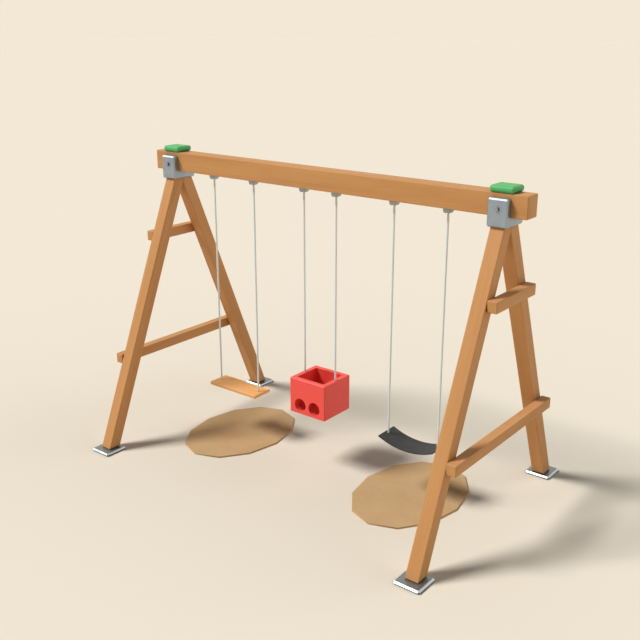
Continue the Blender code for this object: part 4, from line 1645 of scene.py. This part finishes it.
@dataclass
class Studio:
    """The pale floor, the soft light and the camera."""

    floor_colour: Colour = linear(245, 233, 213)
    # Painted shade on the floor round the frame: its colour, greatest share, the footprint it surrounds and how fast
    # it fades
    floor_shade_colour: Colour = linear(214, 206, 188)
    floor_shade_share: float = 0.54
    footprint: Point = (1.2, 0.5, 1.0)
    fade: float = 1.3
    backdrop: Colour = linear(242, 232, 213)
    floor_half: float = 150.0
    floor_z: float = -0.0002
    key: SoftLight = SoftLight("key_light", (-0.4864, -0.4412, 0.7541), 3.2, math.radians(18))
    fill: SoftLight = SoftLight("fill_light", (0.69, 0.53, 0.49), 0.8, math.radians(60))
    sky: float = 0.10
    sky_colour: Colour = (0.86, 1.0, 1.1)
    eye: Point = (3.8386, -4.8643, 3.2180)
    azimuth: float = math.radians(38.2757)
    elevation: float = math.radians(18.5104)
    lens: float = 50.24
    sensor: float = 36.0
    clip: Pair = (0.1, 500.0)

    def floor(self) -> None:
        """A wide plain floor with painted shade round the feet of the frame, fading with distance."""
        bm = bmesh.new()
        around_it = ((-1, -1), (1, -1), (1, 1), (-1, 1))
        bm.faces.new([
            bm.verts.new((self.floor_half * x, self.floor_half * y, self.floor_z)) for x, y in around_it
        ])
        mesh = bpy.data.meshes.new("studio_floor")
        bm.to_mesh(mesh)
        bm.free()
        material = bpy.data.materials.new("studio_floor")
        material.use_nodes = True
        shader = material.node_tree.nodes["Principled BSDF"]
        graph = Graph(material.node_tree)
        place = graph.add("TexCoord").outputs["Object"]
        # Painted shade, deepest at the frame's footprint and fading with distance
        beyond = graph.vector("SUBTRACT", graph.vector("ABSOLUTE", place), self.footprint)
        away = graph.vector("LENGTH", graph.vector("MAXIMUM", beyond, (0.0, 0.0, 0.0)))
        near = graph.maths("EXPONENT", graph.maths("MULTIPLY", away, -1.0 / self.fade))
        share = graph.maths("MULTIPLY", near, self.floor_shade_share)
        graph.feed(shader.inputs["Base Color"], graph.blend(share, self.floor_colour, self.floor_shade_colour))
        shader.inputs["Roughness"].default_value = 1.0
        shader.inputs["Specular IOR Level"].default_value = 0.0
        mesh.materials.append(material)
        shown("studio_floor", mesh)

    def light(self) -> None:
        """Two soft lamps and an even sky. What the camera and reflections see is the backdrop."""
        self.key.build()
        self.fill.build()
        world = bpy.data.worlds.new("studio")
        bpy.context.scene.world = world
        world.use_nodes = True
        graph = Graph(world.node_tree)
        world.node_tree.nodes.clear()
        path = graph.add("LightPath").outputs
        seen = graph.maths("MAXIMUM", path["Is Camera Ray"], path["Is Glossy Ray"])
        seen = graph.maths("MAXIMUM", seen, path["Is Transmission Ray"])
        sky = graph.add("Background", Color=(*self.sky_colour, 1.0), Strength=self.sky)
        back = graph.add("Background", Color=(*self.backdrop, 1.0), Strength=1.0)
        mix = graph.add("MixShader")
        for socket, value in zip(mix.inputs, (seen, sky.outputs[0], back.outputs[0])):
            graph.feed(socket, value)
        graph.add("OutputWorld", Surface=mix.outputs[0])

    def camera(self) -> None:
        """The camera where the photograph was taken from."""
        data = bpy.data.cameras.new("camera")
        data.lens, data.sensor_width = self.lens, self.sensor
        data.clip_start, data.clip_end = self.clip
        back = Vector((
            math.sin(self.azimuth) * math.cos(self.elevation),
            -math.cos(self.azimuth) * math.cos(self.elevation),
            math.sin(self.elevation),
        ))
        obj = shown("camera", data)
        obj.location = self.eye
        obj.rotation_mode = "QUATERNION"
        obj.rotation_quaternion = (-back).to_track_quat("-Z", "Y")
        bpy.context.scene.camera = obj

    def build(self) -> None:
        """Sets up the whole studio."""
        bpy.context.scene.view_settings.view_transform = "Standard"
        self.camera()
        self.floor()
        self.light()
        LOG.info("studio: camera, floor, key light, fill light and sky")


def build_ropes(belt: BeltSeat) -> None:
    """Builds the six ropes, two to each swing.

    Args:
        belt: The belt seat, whose bend leans its knots.
    """
    seats = (
        (Swing.BOARD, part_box("board_seat")[1].z, BoardSeat.thick, 0.0),
        (Swing.BUCKET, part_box("bucket_seat")[1].z, BucketSeat.deck, 0.0),
        (Swing.BELT, belt.rope_z, belt.thick, belt.rope_lean),
    )
    for swing, seat_z, through, lean in seats:
        for side in Side:
            SwingRope(swing, side, seat_z, through, lean).build()


def main() -> None:
    """Builds every sub-assembly in order."""
    logging.basicConfig(level=logging.INFO, format="%(message)s")
    belt, timber = BeltSeat(), TimberFrame()
    Studio().build()
    build_ropes(belt)
    timber.build()
    brackets = [HeadBracket(side, timber) for side in Side]
    for part in (*brackets, FootPlates(), BeamCaps(), Hangers(), BoardSeat(), BucketSeat(), belt, LandingMats(),
                 HiddenFixings()):
        part.build()


if __name__ == "__main__":
    main()
